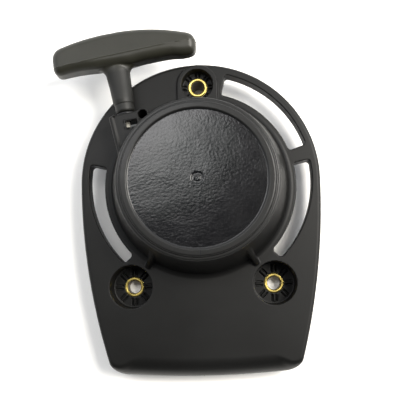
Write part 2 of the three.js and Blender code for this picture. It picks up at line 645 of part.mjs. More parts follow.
const starter = new THREE.Group();
starter.add(node('housing', housing(), 'housingPlastic'));
for (const boss of bosses) {
  const bush = node(boss.name, sleeve(boss), 'brass');
  bush.position.set(boss.x, boss.y, 0);
  starter.add(bush);
}
starter.add(
  node('spring_case', springCase(), 'steel'),
  node('recoil_spring', recoilSpring(), 'springSteel'),
  node('spring_cover', springCover(), 'steel'),
  node('post_bush', postBush(), 'brass'),
  node('rope_reel', reel(), 'reelPlastic'),
  node('rope_coil', ropeCoil(), 'rope'),
  node('pawl_guide', guidePlate(), 'steel'),
  node('friction_spring', frictionSpring(), 'springSteel'),
  node('screw_washer', washer(), 'steel'),
  node('center_screw', screw(), 'steel'),
);

for (const [letter, turn] of [['a', 0], ['b', Math.PI]]) {
  const station = new THREE.Group();
  station.rotation.z = turn;
  const swingPawl = node(`pawl_${letter}`, pawl(), 'steel');
  swingPawl.position.y = PAWL.pivotRadius;
  swingPawl.rotation.z = THREE.MathUtils.degToRad(PAWL.tilt);
  const pinShape = rod(PAWL.holeRadius - GAP, PAWL.low - 0.1, REEL_POCKET.floor - 0.8, 0, 0, 16);
  const pin = node(`pawl_pin_${letter}`, pinShape, 'steel');
  pin.position.y = PAWL.pivotRadius;
  station.add(swingPawl, pin);
  starter.add(station);
}

const reelKnot = node('reel_knot', knot(2.6, 5.6), 'rope');
reelKnot.position.set(-13.6, 7.85, REEL_POCKET.floor + 3.4);
starter.add(reelKnot);

const pullLine = new THREE.Group();
pullLine.position.copy(pullFoot);
pullLine.rotation.z = PULL_TILT;
const handleKnot = node('handle_knot', knot(4, 6.2), 'rope');
handleKnot.position.set(0, KNOT_POCKET.floor + 5.1, ROPE_Z);
pullLine.add(
  node('rope_guide', ropeGuide(), 'reelPlastic'),
  node('rope_lead', ropeLead(), 'rope'),
  node('handle_grip', handleGrip(), 'handlePlastic'),
  node('knot_washer', knotWasher(), 'steel'),
  handleKnot,
  node('handle_plug', handlePlug(), 'handlePlastic'),
);
starter.add(pullLine);

const middle = new THREE.Box3().setFromObject(starter, true).getCenter(new THREE.Vector3());
starter.position.set(-middle.x, -middle.y, 0);

export default starter;
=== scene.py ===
"""The looks of a recoil starter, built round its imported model.

Shapes are worked out in millimetres in the starter's own frame: the reel axis is at x = y = 0,
the mounting plane is at z = 0, and the pull frame's +b runs along the rope line. Each moulding is
a signed distance field, meshed by surface nets, and turned pieces are softened profiles.
"""
import json
import math

import bmesh
import bpy
import numpy as np
from mathutils import Euler, Matrix, Vector


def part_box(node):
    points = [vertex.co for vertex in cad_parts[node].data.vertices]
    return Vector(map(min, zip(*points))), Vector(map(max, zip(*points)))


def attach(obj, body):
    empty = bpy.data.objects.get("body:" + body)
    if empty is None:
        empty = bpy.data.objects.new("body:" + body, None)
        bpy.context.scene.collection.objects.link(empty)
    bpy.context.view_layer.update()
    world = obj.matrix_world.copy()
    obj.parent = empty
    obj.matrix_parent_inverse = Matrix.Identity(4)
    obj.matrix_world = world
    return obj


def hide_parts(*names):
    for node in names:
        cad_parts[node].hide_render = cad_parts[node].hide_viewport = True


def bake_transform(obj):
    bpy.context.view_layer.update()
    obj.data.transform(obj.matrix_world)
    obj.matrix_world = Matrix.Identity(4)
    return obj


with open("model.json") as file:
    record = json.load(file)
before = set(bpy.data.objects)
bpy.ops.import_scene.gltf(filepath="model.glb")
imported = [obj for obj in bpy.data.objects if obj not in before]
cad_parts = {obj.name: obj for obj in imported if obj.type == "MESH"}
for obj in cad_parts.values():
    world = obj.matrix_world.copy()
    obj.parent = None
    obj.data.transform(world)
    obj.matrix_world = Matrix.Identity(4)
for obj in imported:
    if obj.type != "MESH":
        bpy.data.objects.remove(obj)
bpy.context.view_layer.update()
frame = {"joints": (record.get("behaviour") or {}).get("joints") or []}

MM = 0.001


def box_middle(node):
    low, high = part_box(node)
    return (low + high) / 2


AXIS = box_middle("center_screw").xy
PULL = next(Vector(j["axis"]) for j in frame["joints"] if j["name"] == "handle_pull").normalized()
ACROSS = Vector((PULL.y, -PULL.x, 0))
PITCH = 0.5

# --- dimensions, mm
WALL = 2.6
PLATE_TOP = 20.0
SKIRT_LOW = 7.0
RIM_RADIUS = 62.7
RIM_CENTRE_Y = 3.2
SIDE_RADIUS_RIGHT, SIDE_RADIUS_LEFT = 341.0, 315.0
BOTTOM_Y = -97.8
BOTTOM_RADIUS = 520.0
FLASH_NUBS = (-40.0, -1.0, 19.2, 44.5)  # along the bottom edge
CORNER_RADIUS = 6.0
EDGE_ROLL, BOTTOM_ROLL = 2.0, 10.0

CUP_BASE = (45.6, 22.4)
CUP_SLOPE = math.radians(13.74)
CUP_FILLET = 2.4
DISC_RADIUS, DISC_TOP = 34.1, 46.0
RIDGE_MIDDLE, RIDGE_HALF, RIDGE_TOP = 36.1, 1.9, 46.8
VALLEY_TOP = 45.5
CEILING = 43.4

SLOT_INNER, SLOT_OUTER, SLOT_CORNER, SLOT_WALL, SLOT_LOW = 50.0, 58.3, 1.8, 1.8, 11.0
SLOT_SPANS = [(20, 76), (-43.5, 12), (167, 224.4)]

LOWER_BOSS = dict(pocket=11.0, floor=7.4, top=8.0, peak=0.0, rib_end=9.7)
BOSSES = {
    "left": dict(LOWER_BOSS, x=-37.0, y=-51.3),
    "right": dict(LOWER_BOSS, x=37.0, y=-51.3),
    "top": dict(x=0.0, y=54.2, pocket=8.3, floor=15.0, top=15.7, peak=25.0, rib_end=8.2),
}
BOSS_WALL = 2.3
KEYHOLE = dict(radius=10.8, top=21.5, peak=17.5)
GUSSET = dict(half=1.5, inner=42.0, inner_top=37.0, outer=50.7, outer_top=20.4)
GUSSET_ANGLES = (-55.8, 180 + 55.8)

ROPE_LINE, ROPE_Z, ROPE_RADIUS, ROPE_BORE = 30.2, 27.0, 1.5, 2.1
DUCT = dict(half=7.4, inner=8.0, front=42.6, top=33.5, wall=2.4)
DUCT_WINDOW = (-0.2, 5.8, 34.9, 38.3)
GUIDE_SEAT = 3.7
LUG = dict(a=9.1, b=40.5, radius=3.3, bore=2.3, top=32.5)
POST = dict(radius=5.5, low=11.3, hole=3.1, hole_top=30.0)

NOSE_END = 44.2
BAR_HALF, BAR_MIDDLE, BAR_BACK = 7.55, 74.0, 87.3
BAR_Z = 27.05
KNOT_POCKET = 5.2

REEL = dict(low=21.0, high=33.0, radius=34.0, flange=2.4, groove=22.6, bore=7.1)
ARBOR = dict(radius=9.0, top=41.3)
PAWL_PIVOT, PAWL_TILT, PAWL_LOW, PAWL_HIGH = 17.0, -13.7, 16.0, 20.6
PEG_REACH, PEG_RADIUS, PEG_LOW, PAWL_HOLE = 9.0, 1.3, 13.2, 2.3
GUIDE_PLATE = dict(radius=22.5, bore=6.0, low=13.4, high=15.6, turn=28.0, swing=25.0)
SPRING = dict(inner=9.8, outer=30.8, turns=6, band=0.6, low=34.9, high=41.4)


def to_frame(points):
    """Millimetres in the starter's own frame to metres in the row frame."""
    return np.asarray(points, float) * MM + np.array([AXIS.x, AXIS.y, 0.0])


# Pull frame: a across the rope line, b along it.
RIGHT = np.array(ACROSS.xy)
ALONG = np.array(PULL.xy)
FOOT = -ROPE_LINE * RIGHT


def pull_point(a, b):
    x, y = FOOT + a * RIGHT + b * ALONG
    return np.array([x, y, ROPE_Z])


def pull_coordinates(x, y):
    dx, dy = x - FOOT[0], y - FOOT[1]
    return dx * RIGHT[0] + dy * RIGHT[1], dx * ALONG[0] + dy * ALONG[1]


# --- distance fields
def meet(a, b, radius=0.0):
    """Where both fields are inside, with the edge between them rounded."""
    if np.isscalar(radius) and radius == 0.0:
        return np.maximum(a, b)
    outside = np.hypot(np.maximum(a + radius, 0), np.maximum(b + radius, 0))
    return outside + np.minimum(np.maximum(a, b) + radius, 0) - radius


def join(a, b, radius=0.0):
    """Where either field is inside, with a fillet in the corner between them."""
    return -meet(-a, -b, radius)


def cut(a, b, radius=0.0):
    """Field a without field b, with the edge rounded."""
    return meet(a, -b, radius)


def smoothstep(low, high, value):
    t = np.clip((value - low) / (high - low), 0, 1)
    return t * t * (3 - 2 * t)


def plate_plan(x, y):
    upper = np.hypot(x, y - RIM_CENTRE_Y) - RIM_RADIUS
    side = np.where(x > 0, SIDE_RADIUS_RIGHT, SIDE_RADIUS_LEFT)
    lower = np.hypot(np.abs(x) + side - RIM_RADIUS, y - RIM_CENTRE_Y) - side
    return np.where(y > RIM_CENTRE_Y, upper, lower)


def bottom_plan(x, y):
    return np.hypot(x, y - BOTTOM_Y - BOTTOM_RADIUS) - BOTTOM_RADIUS


def peaked_circle(x, y, radius, peak, blunt):
    """A circle with two tangents that meet in a blunt peak towards +y."""
    t = math.radians(peak)
    circle = np.hypot(x, y) - radius
    rise, lean = y * math.cos(t) - radius, x * math.sin(t)
    in_peak = (y > 0) & (np.abs(x) < np.maximum(y, 0) * math.tan(t))
    return np.where(in_peak, meet(rise + lean, rise - lean, blunt), circle)


def slot_plan(x, y, span):
    start, end = (math.radians(angle) for angle in span)
    reach = np.hypot(x, y)
    off = np.arctan2(y, x) - (start + end) / 2
    off = np.abs((off + math.pi) % (2 * math.pi) - math.pi) - (end - start) / 2
    sides = reach * np.sin(np.clip(off, -math.pi / 2, math.pi / 2))
    band = meet(SLOT_INNER - reach, np.hypot(x, y - RIM_CENTRE_Y) - SLOT_OUTER, 0.0)
    return meet(band, sides, SLOT_CORNER)


def cup_side(x, y, z):
    reach = np.hypot(x, y)
    return (reach - CUP_BASE[0] + math.tan(CUP_SLOPE) * (z - CUP_BASE[1])) * math.cos(CUP_SLOPE)


def cup_field(x, y, z):
    reach = np.hypot(x, y)
    cup = meet(cup_side(x, y, z), z - VALLEY_TOP, 0.8)
    ridge = meet(np.abs(reach - RIDGE_MIDDLE) - RIDGE_HALF, z - RIDGE_TOP, 0.9)
    disc = np.maximum(reach - RIDGE_MIDDLE, z - DISC_TOP)
    cup = join(cup, np.maximum(ridge, 40 - z), 0.5)
    cup = join(cup, np.maximum(disc, 40 - z), 0.45)
    return gate_mark(cup, x, y, z, reach)


def gate_mark(cup, x, y, z, reach):
    """The moulding's gate in the middle of the disc, and the weld line on the ridge below it."""
    hollow = (reach - 3.1 - 0.8 * (z - DISC_TOP)) * 0.78
    cup = cut(cup, np.maximum(hollow, DISC_TOP - 0.55 - z), 0.15)
    stub_top = DISC_TOP - 0.12 + 0.05 * np.sin(5 * x + 1) * np.sin(4 * y)
    cup = join(cup, meet(np.hypot(x + 0.1, y) - 1.5, z - stub_top, 0.2), 0.15)
    weld = np.maximum(np.abs(x - 0.4) - 0.16, y)
    weld = np.maximum(weld, np.abs(reach - RIDGE_MIDDLE - 0.3) - 1.6)
    return cut(cup, np.maximum(weld, RIDGE_TOP - 0.14 - z), 0.05)


def boss_holes(x, y, z, boss):
    """The pocket of a boss with the sleeve's hole, and grooves either side of eight ribs."""
    dx, dy = x - boss["x"], y - boss["y"]
    reach = np.hypot(dx, dy)
    pocket = meet(peaked_circle(dx, dy, boss["pocket"], boss["peak"], 2.5), boss["floor"] - z, 0.6)
    turn = (np.arctan2(dy, dx) + math.pi / 8) % (math.pi / 4) - math.pi / 8
    along, aside = reach * np.cos(turn), np.abs(reach * np.sin(turn))
    on_floor = np.maximum(5.9 - along, along - boss["rib_end"])
    grooves = np.maximum(meet(np.abs(aside - 1.0) - 0.4, on_floor, 0.2), boss["floor"] - 1.1 - z)
    ribs = meet(meet(aside - 0.55, on_floor, 0.3), z - boss["floor"] - 0.4, 0.25)
    hole = reach - 5.15
    return cut(np.minimum(np.minimum(pocket, grooves), hole), np.maximum(ribs, 5.6 - reach))


def window_plan(a, b, past_a, past_b, radius):
    """The duct's window in plan, grown by past_a and past_b."""
    x0, x1, y0, y1 = DUCT_WINDOW
    return meet(np.abs(a - (x0 + x1) / 2) - (x1 - x0) / 2 - past_a,
                np.abs(b - (y0 + y1) / 2) - (y1 - y0) / 2 - past_b, radius)


def duct_field(x, y, z):
    a, b = pull_coordinates(x, y)
    left = -a - 7.0 - 0.055 * (b - 23.7)
    sides = np.maximum(a - DUCT["half"], left)
    plan = meet(sides, b - DUCT["front"], 1.4)
    plan = np.maximum(plan, DUCT["inner"] - b)
    box = meet(plan, z - DUCT["top"], 0.9)
    raised = meet(window_plan(a, b, 1.0, 0.9, 0.6), z - DUCT["top"] - 0.25, 0.2)
    pin = np.hypot(np.hypot(a + 5.4, b - 42.2), np.maximum(z - 33.6, 0)) - 0.65
    box = join(box, np.maximum(raised, 30 - z), 0.15)
    lip = np.hypot(left + 1.15, z - DUCT["top"] + 0.55) - 1.15
    middle, half = (DUCT["front"] + DUCT["inner"]) / 2, (DUCT["front"] - DUCT["inner"]) / 2
    lip = meet(lip, np.abs(b - middle) - half + 0.6, 0.5)
    box = join(box, lip, 0.5)
    return join(box, np.maximum(pin, 26 - z), 0.25)


def duct_holes(x, y, z):
    a, b = pull_coordinates(x, y)
    half, inner_front = DUCT["half"] - DUCT["wall"], DUCT["front"] - DUCT["wall"]
    room = np.maximum(np.maximum(np.abs(a) - half, b - inner_front), DUCT["inner"] - b)
    room = np.maximum(room, z - DUCT["top"] + DUCT["wall"])
    window = np.maximum(window_plan(a, b, 0, 0, 0.45), DUCT["top"] - DUCT["wall"] - 1 - z)
    seat = np.maximum(np.hypot(a, z - ROPE_Z) - GUIDE_SEAT, inner_front - 1 - b)
    lug = np.maximum(np.hypot(a - LUG["a"], b - LUG["b"]) - LUG["bore"], PLATE_TOP - z)
    return np.minimum(room, seat), join(window, lug)


def lug_field(x, y, z):
    a, b = pull_coordinates(x, y)
    return meet(np.hypot(a - LUG["a"], b - LUG["b"]) - LUG["radius"], z - LUG["top"], 0.6)


def gusset_field(x, y, z, angle):
    c, s = math.cos(math.radians(angle)), math.sin(math.radians(angle))
    along, aside = x * c + y * s, np.abs(-x * s + y * c)
    rise, run = GUSSET["inner_top"] - GUSSET["outer_top"], GUSSET["outer"] - GUSSET["inner"]
    slope = ((along - GUSSET["inner"]) * rise + (z - GUSSET["inner_top"]) * run) / math.hypot(rise, run)
    slope = np.maximum(slope, z - GUSSET["inner_top"] - 1)
    body = meet(aside - GUSSET["half"], slope, 1.2)
    return np.maximum(meet(body, along - GUSSET["outer"] - 0.3, 1.2), 30 - along)


def housing_field(x, y, z):
    plan = meet(plate_plan(x, y), bottom_plan(x, y), CORNER_RADIUS)
    nearer_bottom = smoothstep(-6, 6, bottom_plan(x, y) - plate_plan(x, y))
    roll = EDGE_ROLL + (BOTTOM_ROLL - EDGE_ROLL) * nearer_bottom
    skin = meet(plan, z - PLATE_TOP, roll)
    cup = np.maximum(cup_field(x, y, z), PLATE_TOP - 3 - z)
    skin = join(skin, cup, CUP_FILLET)

    keyhole = np.where(y > BOSSES["top"]["y"],
                       peaked_circle(x, y - BOSSES["top"]["y"], KEYHOLE["radius"], KEYHOLE["peak"], 1.8),
                       np.abs(x) - KEYHOLE["radius"])
    keyhole = meet(np.maximum(keyhole, 38 - y), z - KEYHOLE["top"], 0.5)
    skin = join(skin, np.maximum(keyhole, PLATE_TOP - 1 - z), 0.35)
    for angle in GUSSET_ANGLES:
        skin = join(skin, gusset_field(x, y, z, angle), 0.8)
    skin = join(skin, np.maximum(duct_field(x, y, z), PLATE_TOP - 1 - z), 1.0)
    skin = join(skin, np.maximum(lug_field(x, y, z), PLATE_TOP - 1 - z), 0.7)

    underside = PLATE_TOP - WALL
    hollow = meet(plan + WALL, z - underside, np.maximum(roll - WALL, 0.6))
    inside_cup = (np.hypot(x, y) - 43 + 0.2511 * (np.maximum(z, PLATE_TOP) - PLATE_TOP)) * 0.97
    hollow = np.minimum(hollow, np.maximum(meet(inside_cup, z - CEILING, 1.5), underside - 1 - z))
    room, through = duct_holes(x, y, z)
    hollow = np.minimum(hollow, np.maximum(room, underside - 1 - z))
    shell = meet(cut(skin, hollow, 0.25), SKIRT_LOW - z, 0.4)

    for span in SLOT_SPANS:
        wall = np.maximum(np.maximum(slot_plan(x, y, span) - SLOT_WALL, SLOT_LOW - z), z - underside - 0.5)
        shell = join(shell, wall, 0.5)
    for boss in BOSSES.values():
        tube = np.hypot(x - boss["x"], y - boss["y"]) - boss["pocket"] - BOSS_WALL
        shell = join(shell, np.maximum(np.maximum(tube, -z), z - underside - 0.5), 0.5)
    for rib_x in (-18, 0, 18):
        rib = np.maximum(np.abs(x - rib_x) - 0.9, np.maximum(9 - z, z - underside - 0.5))
        rib = np.maximum(rib, np.maximum(y + CUP_BASE[0], BOTTOM_Y + 2.3 - y))
        shell = join(shell, np.maximum(rib, skin + 1.2), 0.5)
    for nub_x in FLASH_NUBS:
        nub = np.sqrt((x - nub_x) ** 2 + (plan + 0.2) ** 2 + (z - SKIRT_LOW - 1.5) ** 2) - 0.65
        shell = join(shell, np.maximum(nub, y + 80), 0.2)
    post = np.maximum(np.hypot(x, y) - POST["radius"], np.maximum(POST["low"] - z, z - CEILING - 1))
    shell = join(shell, post, 0.8)

    for span in SLOT_SPANS:
        shell = cut(shell, np.maximum(slot_plan(x, y, span), SLOT_LOW - 1 - z), 0.5)
    for boss in BOSSES.values():
        shell = cut(shell, boss_holes(x, y, z, boss), 0.3)
    shell = cut(shell, through, 0.3)
    screw_hole = np.maximum(np.hypot(x, y) - POST["hole"], z - POST["hole_top"])
    return cut(shell, screw_hole, 0.3)


# --- meshing
CORNERS = [(i, j, k) for i in (0, 1) for j in (0, 1) for k in (0, 1)]
EDGES = [(p, q) for p in range(8) for q in range(p + 1, 8)
         if sum(abs(a - b) for a, b in zip(CORNERS[p], CORNERS[q])) == 1]
COARSE = 4


def in_pieces(field, points):
    """The field at many points, a stretch at a time."""
    size = 400_000
    parts = [field(*points[i:i + size].T) for i in range(0, len(points), size)]
    return np.concatenate(parts) if parts else np.zeros(0)


def sampled(field, axes, pitch):
    """The field on a grid, exact near the surface and coarse far from it."""
    coarse_axes = [axis[::COARSE] for axis in axes]
    grid = np.stack(np.meshgrid(*coarse_axes, indexing="ij"), -1).reshape(-1, 3)
    coarse = in_pieces(field, grid).reshape([len(axis) for axis in coarse_axes])
    nearest = [np.minimum((np.arange(len(axis)) + COARSE // 2) // COARSE, len(rough) - 1)
               for axis, rough in zip(axes, coarse_axes)]
    values = coarse[np.ix_(*nearest)]
    close = np.nonzero(np.abs(values) < 1.25 * COARSE * pitch)
    points = np.stack([axis[index] for axis, index in zip(axes, close)], -1)
    values[close] = in_pieces(field, points)
    return values


def gradient(field, points, step):
    parts = []
    for axis in range(3):
        ahead, behind = points.copy(), points.copy()
        ahead[:, axis] += step
        behind[:, axis] -= step
        parts.append((in_pieces(field, ahead) - in_pieces(field, behind)) / (2 * step))
    return np.stack(parts, -1)


def onto_surface(field, points, pitch, rounds=2):
    for _ in range(rounds):
        slope = gradient(field, points, 0.1 * pitch)
        size = np.maximum((slope ** 2).sum(1), 0.05)
        move = np.clip(in_pieces(field, points) / size, -0.6 * pitch, 0.6 * pitch)
        points = points - slope * move[:, None]
    return points


def surface_net(field, low, high, pitch):
    """Vertices and outward quads of the surface where the field changes sign."""
    axes = [np.arange(low[i] - pitch, high[i] + 2 * pitch, pitch) for i in range(3)]
    values = sampled(field, axes, pitch)
    inside = values < 0
    count = sum(inside[i:inside.shape[0] - 1 + i, j:inside.shape[1] - 1 + j, k:inside.shape[2] - 1 + k]
                .astype(np.int8) for i, j, k in CORNERS)
    active = (count > 0) & (count < 8)
    cells = np.argwhere(active)
    index = np.full(active.shape, -1, np.int64)
    index[active] = np.arange(len(cells))
    corner = [values[tuple((cells + offset).T)] for offset in CORNERS]
    total = np.zeros((len(cells), 3))
    hits = np.zeros(len(cells))
    for p, q in EDGES:
        crossing = (corner[p] < 0) != (corner[q] < 0)
        share = np.where(crossing, corner[p] / np.where(crossing, corner[p] - corner[q], 1), 0)
        start, end = np.array(CORNERS[p], float), np.array(CORNERS[q], float)
        total += crossing[:, None] * (start + share[:, None] * (end - start))
        hits += crossing
    origin = np.array([axis[0] for axis in axes])
    vertices = origin + pitch * (cells + total / hits[:, None])

    quads = []
    for axis in range(3):
        second, third = (axis + 1) % 3, (axis + 2) % 3
        first_in = np.moveaxis(inside, axis, 0)
        change = np.moveaxis(first_in[:-1] != first_in[1:], 0, axis)
        spots = np.argwhere(change)
        keep = (spots[:, second] > 0) & (spots[:, third] > 0)
        keep &= (spots[:, second] < active.shape[second]) & (spots[:, third] < active.shape[third])
        spots = spots[keep]
        ring = []
        for back2, back3 in ((1, 1), (0, 1), (0, 0), (1, 0)):
            cell = spots.copy()
            cell[:, second] -= back2
            cell[:, third] -= back3
            ring.append(index[tuple(cell.T)])
        quad = np.stack(ring, -1)
        outward = inside[tuple(spots.T)]
        quads.append(np.where(outward[:, None], quad, quad[:, ::-1]))
    return vertices, np.concatenate(quads)


def add_object(name, mesh, materials):
    for material in materials:
        mesh.materials.append(material)
    piece = bpy.data.objects.new(name, mesh)
    bpy.context.scene.collection.objects.link(piece)
    return piece


def mesh_from(name, vertices, faces):
    mesh = bpy.data.meshes.new(name)
    mesh.from_pydata(vertices.tolist(), [], faces.tolist() if hasattr(faces, "tolist") else faces)
    return mesh


def thinned(mesh, faces):
    """The mesh with about that many triangles."""
    triangles = sum(len(p.vertices) - 2 for p in mesh.polygons)
    if triangles <= faces:
        return mesh
    holder = bpy.data.objects.new("holder", mesh)
    bpy.context.scene.collection.objects.link(holder)
    modifier = holder.modifiers.new("thin", "DECIMATE")
    modifier.ratio = faces / triangles
    result = bpy.data.meshes.new_from_object(holder.evaluated_get(bpy.context.evaluated_depsgraph_get()))
    result.name = mesh.name
    bpy.data.objects.remove(holder)
    return result


def moulded(name, field, low, high, pitch, materials, faces=150_000, place=to_frame):
    """A piece from a distance field, shaded by the field's own slope."""
    vertices, quads = surface_net(field, low, high, pitch)
    vertices = onto_surface(field, vertices, pitch)
    mesh = thinned(mesh_from(name, vertices, quads), faces)
    points = np.zeros(3 * len(mesh.vertices))
    mesh.vertices.foreach_get("co", points)
    points = onto_surface(field, points.reshape(-1, 3), pitch, rounds=1)
    normals = gradient(field, points, 0.08)
    normals /= np.maximum(np.linalg.norm(normals, axis=1), 1e-9)[:, None]
    bend = in_pieces(field, points + 0.5 * normals) - 0.5
    inner = in_pieces(field, points - 0.5 * normals) + 0.5
    placed = place(points)
    tips = place(points + normals)
    turned_normals = (tips - placed) / MM
    mesh.vertices.foreach_set("co", placed.ravel())
    edge = mesh.attributes.new("edge", "FLOAT", "POINT")
    edge.data.foreach_set("value", np.clip((bend - inner) * -1.5, -1, 1).astype(np.float32))
    mesh.polygons.foreach_set("use_smooth", np.ones(len(mesh.polygons), bool))
    mesh.update()
    mesh.normals_split_custom_set_from_vertices(turned_normals.tolist())
    return add_object(name, mesh, materials)


def area_normals(mesh):
    """Smooth shading in which large faces stay flat."""
    normals = np.zeros((len(mesh.vertices), 3))
    for polygon in mesh.polygons:
        normals[list(polygon.vertices)] += np.array(polygon.normal) * polygon.area
    lengths = np.maximum(np.linalg.norm(normals, axis=1), 1e-12)
    mesh.polygons.foreach_set("use_smooth", np.ones(len(mesh.polygons), bool))
    mesh.normals_split_custom_set_from_vertices((normals / lengths[:, None]).tolist())


def softened(profile, radius):
    """A closed profile with its corners rounded."""
    points = [np.array(p, float) for p in profile]
    result = []
    for i, point in enumerate(points):
        before, after = points[i - 1], points[(i + 1) % len(points)]
        back, on = before - point, after - point
        back_length, on_length = np.linalg.norm(back), np.linalg.norm(on)
        reach = min(radius, 0.45 * back_length, 0.45 * on_length)
        start, end = point + back / back_length * reach, point + on / on_length * reach
        for t in np.linspace(0, 1, 5):
            result.append((1 - t) ** 2 * start + 2 * t * (1 - t) * point + t * t * end)
    return result


def turned(name, profile, materials, centre=(0, 0), radius=0.2, segments=96, shape=None, frame_of=None):
    """A ring turned about an axis parallel to z from a closed profile of (radius, height).

    shape(r, z, angle) may move each point; frame_of(points) may turn the piece to lie elsewhere.
    """
    section = softened(profile, radius)
    rows = []
    for s in range(segments):
        angle = 2 * math.pi * s / segments
        for r, z in section:
            if shape:
                r, z = shape(r, z, angle)
            rows.append((centre[0] + r * math.cos(angle), centre[1] + r * math.sin(angle), z))
    count = len(section)
    faces = []
    for s in range(segments):
        here, there = s * count, (s + 1) % segments * count
        for i in range(count):
            j = (i + 1) % count
            faces.append((here + i, there + i, there + j, here + j))
    points = np.array(rows)
    points = frame_of(points) if frame_of else to_frame(points)
    mesh = mesh_from(name, points, faces)
    return finish_mesh(name, mesh, materials)


def finish_mesh(name, mesh, materials):
    """Outward faces, smooth shading and a place in the scene."""
    work = bmesh.new()
    work.from_mesh(mesh)
    bmesh.ops.remove_doubles(work, verts=work.verts, dist=1e-7)
    bmesh.ops.recalc_face_normals(work, faces=work.faces)
    work.to_mesh(mesh)
    work.free()
    mesh.update()
    area_normals(mesh)
    return add_object(name, mesh, materials)


def on_rope_line(points):
    """Turned pieces on the rope line: the turning axis becomes the pull frame's b."""
    a, up, b = points[:, 0], points[:, 1], points[:, 2]
    xy = FOOT + a[:, None] * RIGHT + b[:, None] * ALONG
    return to_frame(np.column_stack([xy, ROPE_Z - up]))


def ring_faces(rings, sides, closed=False):
    """Quads from each ring of points to the next, and from the last to the first if closed."""
    faces = []
    for i in range(rings if closed else rings - 1):
        here, there = i * sides, (i + 1) % rings * sides
        for k in range(sides):
            n = (k + 1) % sides
            faces.append((here + k, here + n, there + n, there + k))
    return faces


def tube(name, path, radius, materials, sides=16, strands=0, lay=12.0, depth=0.0, closed=False):
    """A tube along a path, in mm; with strands its surface is a braid of that many plaits each way."""
    path = np.asarray(path, float)
    ahead = np.roll(path, -1, 0) if closed else np.vstack([path[1:], 2 * path[-1] - path[-2]])
    behind = np.roll(path, 1, 0) if closed else np.vstack([2 * path[0] - path[1], path[:-1]])
    tangent = ahead - behind
    tangent /= np.linalg.norm(tangent, axis=1)[:, None]
    normal = np.cross(tangent[0], (0.0, 0.0, 1.0))
    if np.linalg.norm(normal) < 0.1:
        normal = np.cross(tangent[0], (0.0, 1.0, 0.0))
    travelled = np.concatenate([[0], np.cumsum(np.linalg.norm(np.diff(path, axis=0), axis=1))])
    rows = []
    angles = 2 * math.pi * np.arange(sides) / sides
    for i, point in enumerate(path):
        normal = normal - tangent[i] * normal.dot(tangent[i])
        normal /= np.linalg.norm(normal)
        side = np.cross(tangent[i], normal)
        reach = np.full(sides, float(radius))
        if strands:
            phase = 2 * math.pi * travelled[i] / lay
            one = np.cos(strands * (angles - phase))
            other = np.cos(strands * (angles + phase))
            reach = radius - depth * (1 - np.maximum(one, other)) / 2
        round_it = np.cos(angles)[:, None] * normal + np.sin(angles)[:, None] * side
        rows.append(point + reach[:, None] * round_it)
    points = np.concatenate(rows)
    faces = ring_faces(len(path), sides, closed)
    if not closed:
        faces.append(tuple(range(sides))[::-1])
        last = (len(path) - 1) * sides
        faces.append(tuple(last + k for k in range(sides)))
    return finish_mesh(name, mesh_from(name, to_frame(points), faces), materials)


# --- materials
class Shader:
    """A small builder for one Principled material and its nodes."""

    def __init__(self, name, **constants):
        self.material = bpy.data.materials.new(name)
        self.material.use_nodes = True
        self.nodes = self.material.node_tree.nodes
        self.links = self.material.node_tree.links
        self.principled = self.nodes["Principled BSDF"]
        for socket, value in constants.items():
            self.principled.inputs[socket.replace("_", " ")].default_value = value
        self.place = self.node("ShaderNodeTexCoord").outputs["Object"]

    def node(self, kind, inputs=None, **settings):
        node = self.nodes.new(kind)
        for key, value in settings.items():
            setattr(node, key, value)
        for key, value in (inputs or {}).items():
            socket = node.inputs[key]
            if isinstance(value, bpy.types.NodeSocket):
                self.links.new(value, socket)
            else:
                socket.default_value = value
        return node

    def mapped(self, scale):
        return self.node("ShaderNodeMapping", {"Vector": self.place, "Scale": scale}).outputs[0]

    def noise(self, size_mm, detail=4.0, roughness=0.55, vector=None):
        source = vector if vector is not None else self.place
        node = self.node("ShaderNodeTexNoise", {"Vector": source, "Scale": 1000 / size_mm,
                                                "Detail": detail, "Roughness": roughness})
        return node.outputs["Fac"]

    def ramp(self, value, low, high, to_low=0.0, to_high=1.0):
        node = self.node("ShaderNodeMapRange", {"Value": value, "From Min": low, "From Max": high,
                                                "To Min": to_low, "To Max": to_high})
        return node.outputs[0]

    def math(self, operation, a, b):
        return self.node("ShaderNodeMath", {0: a, 1: b}, operation=operation).outputs[0]

    def mix(self, factor, a, b):
        node = self.node("ShaderNodeMix", data_type="RGBA")
        for socket, value in ((node.inputs[0], factor), (node.inputs[6], a), (node.inputs[7], b)):
            if isinstance(value, bpy.types.NodeSocket):
                self.links.new(value, socket)
            else:
                socket.default_value = value if np.isscalar(value) else (*value, 1.0)
        return node.outputs[2]

    def blend(self, factor, a, b):
        return self.node("ShaderNodeMix", {0: factor, 2: a, 3: b}, data_type="FLOAT").outputs[0]

    def attribute(self, name):
        return self.node("ShaderNodeAttribute", attribute_name=name).outputs["Fac"]

    def drive(self, socket, value):
        self.links.new(value, self.principled.inputs[socket])

    def driver_of(self, socket):
        return self.principled.inputs[socket].links[0].from_socket

    def bump(self, height, distance_mm, under=None):
        inputs = {"Height": height, "Distance": distance_mm * MM, "Strength": 1.0}
        if under is not None:
            inputs["Normal"] = under
        return self.node("ShaderNodeBump", inputs).outputs[0]


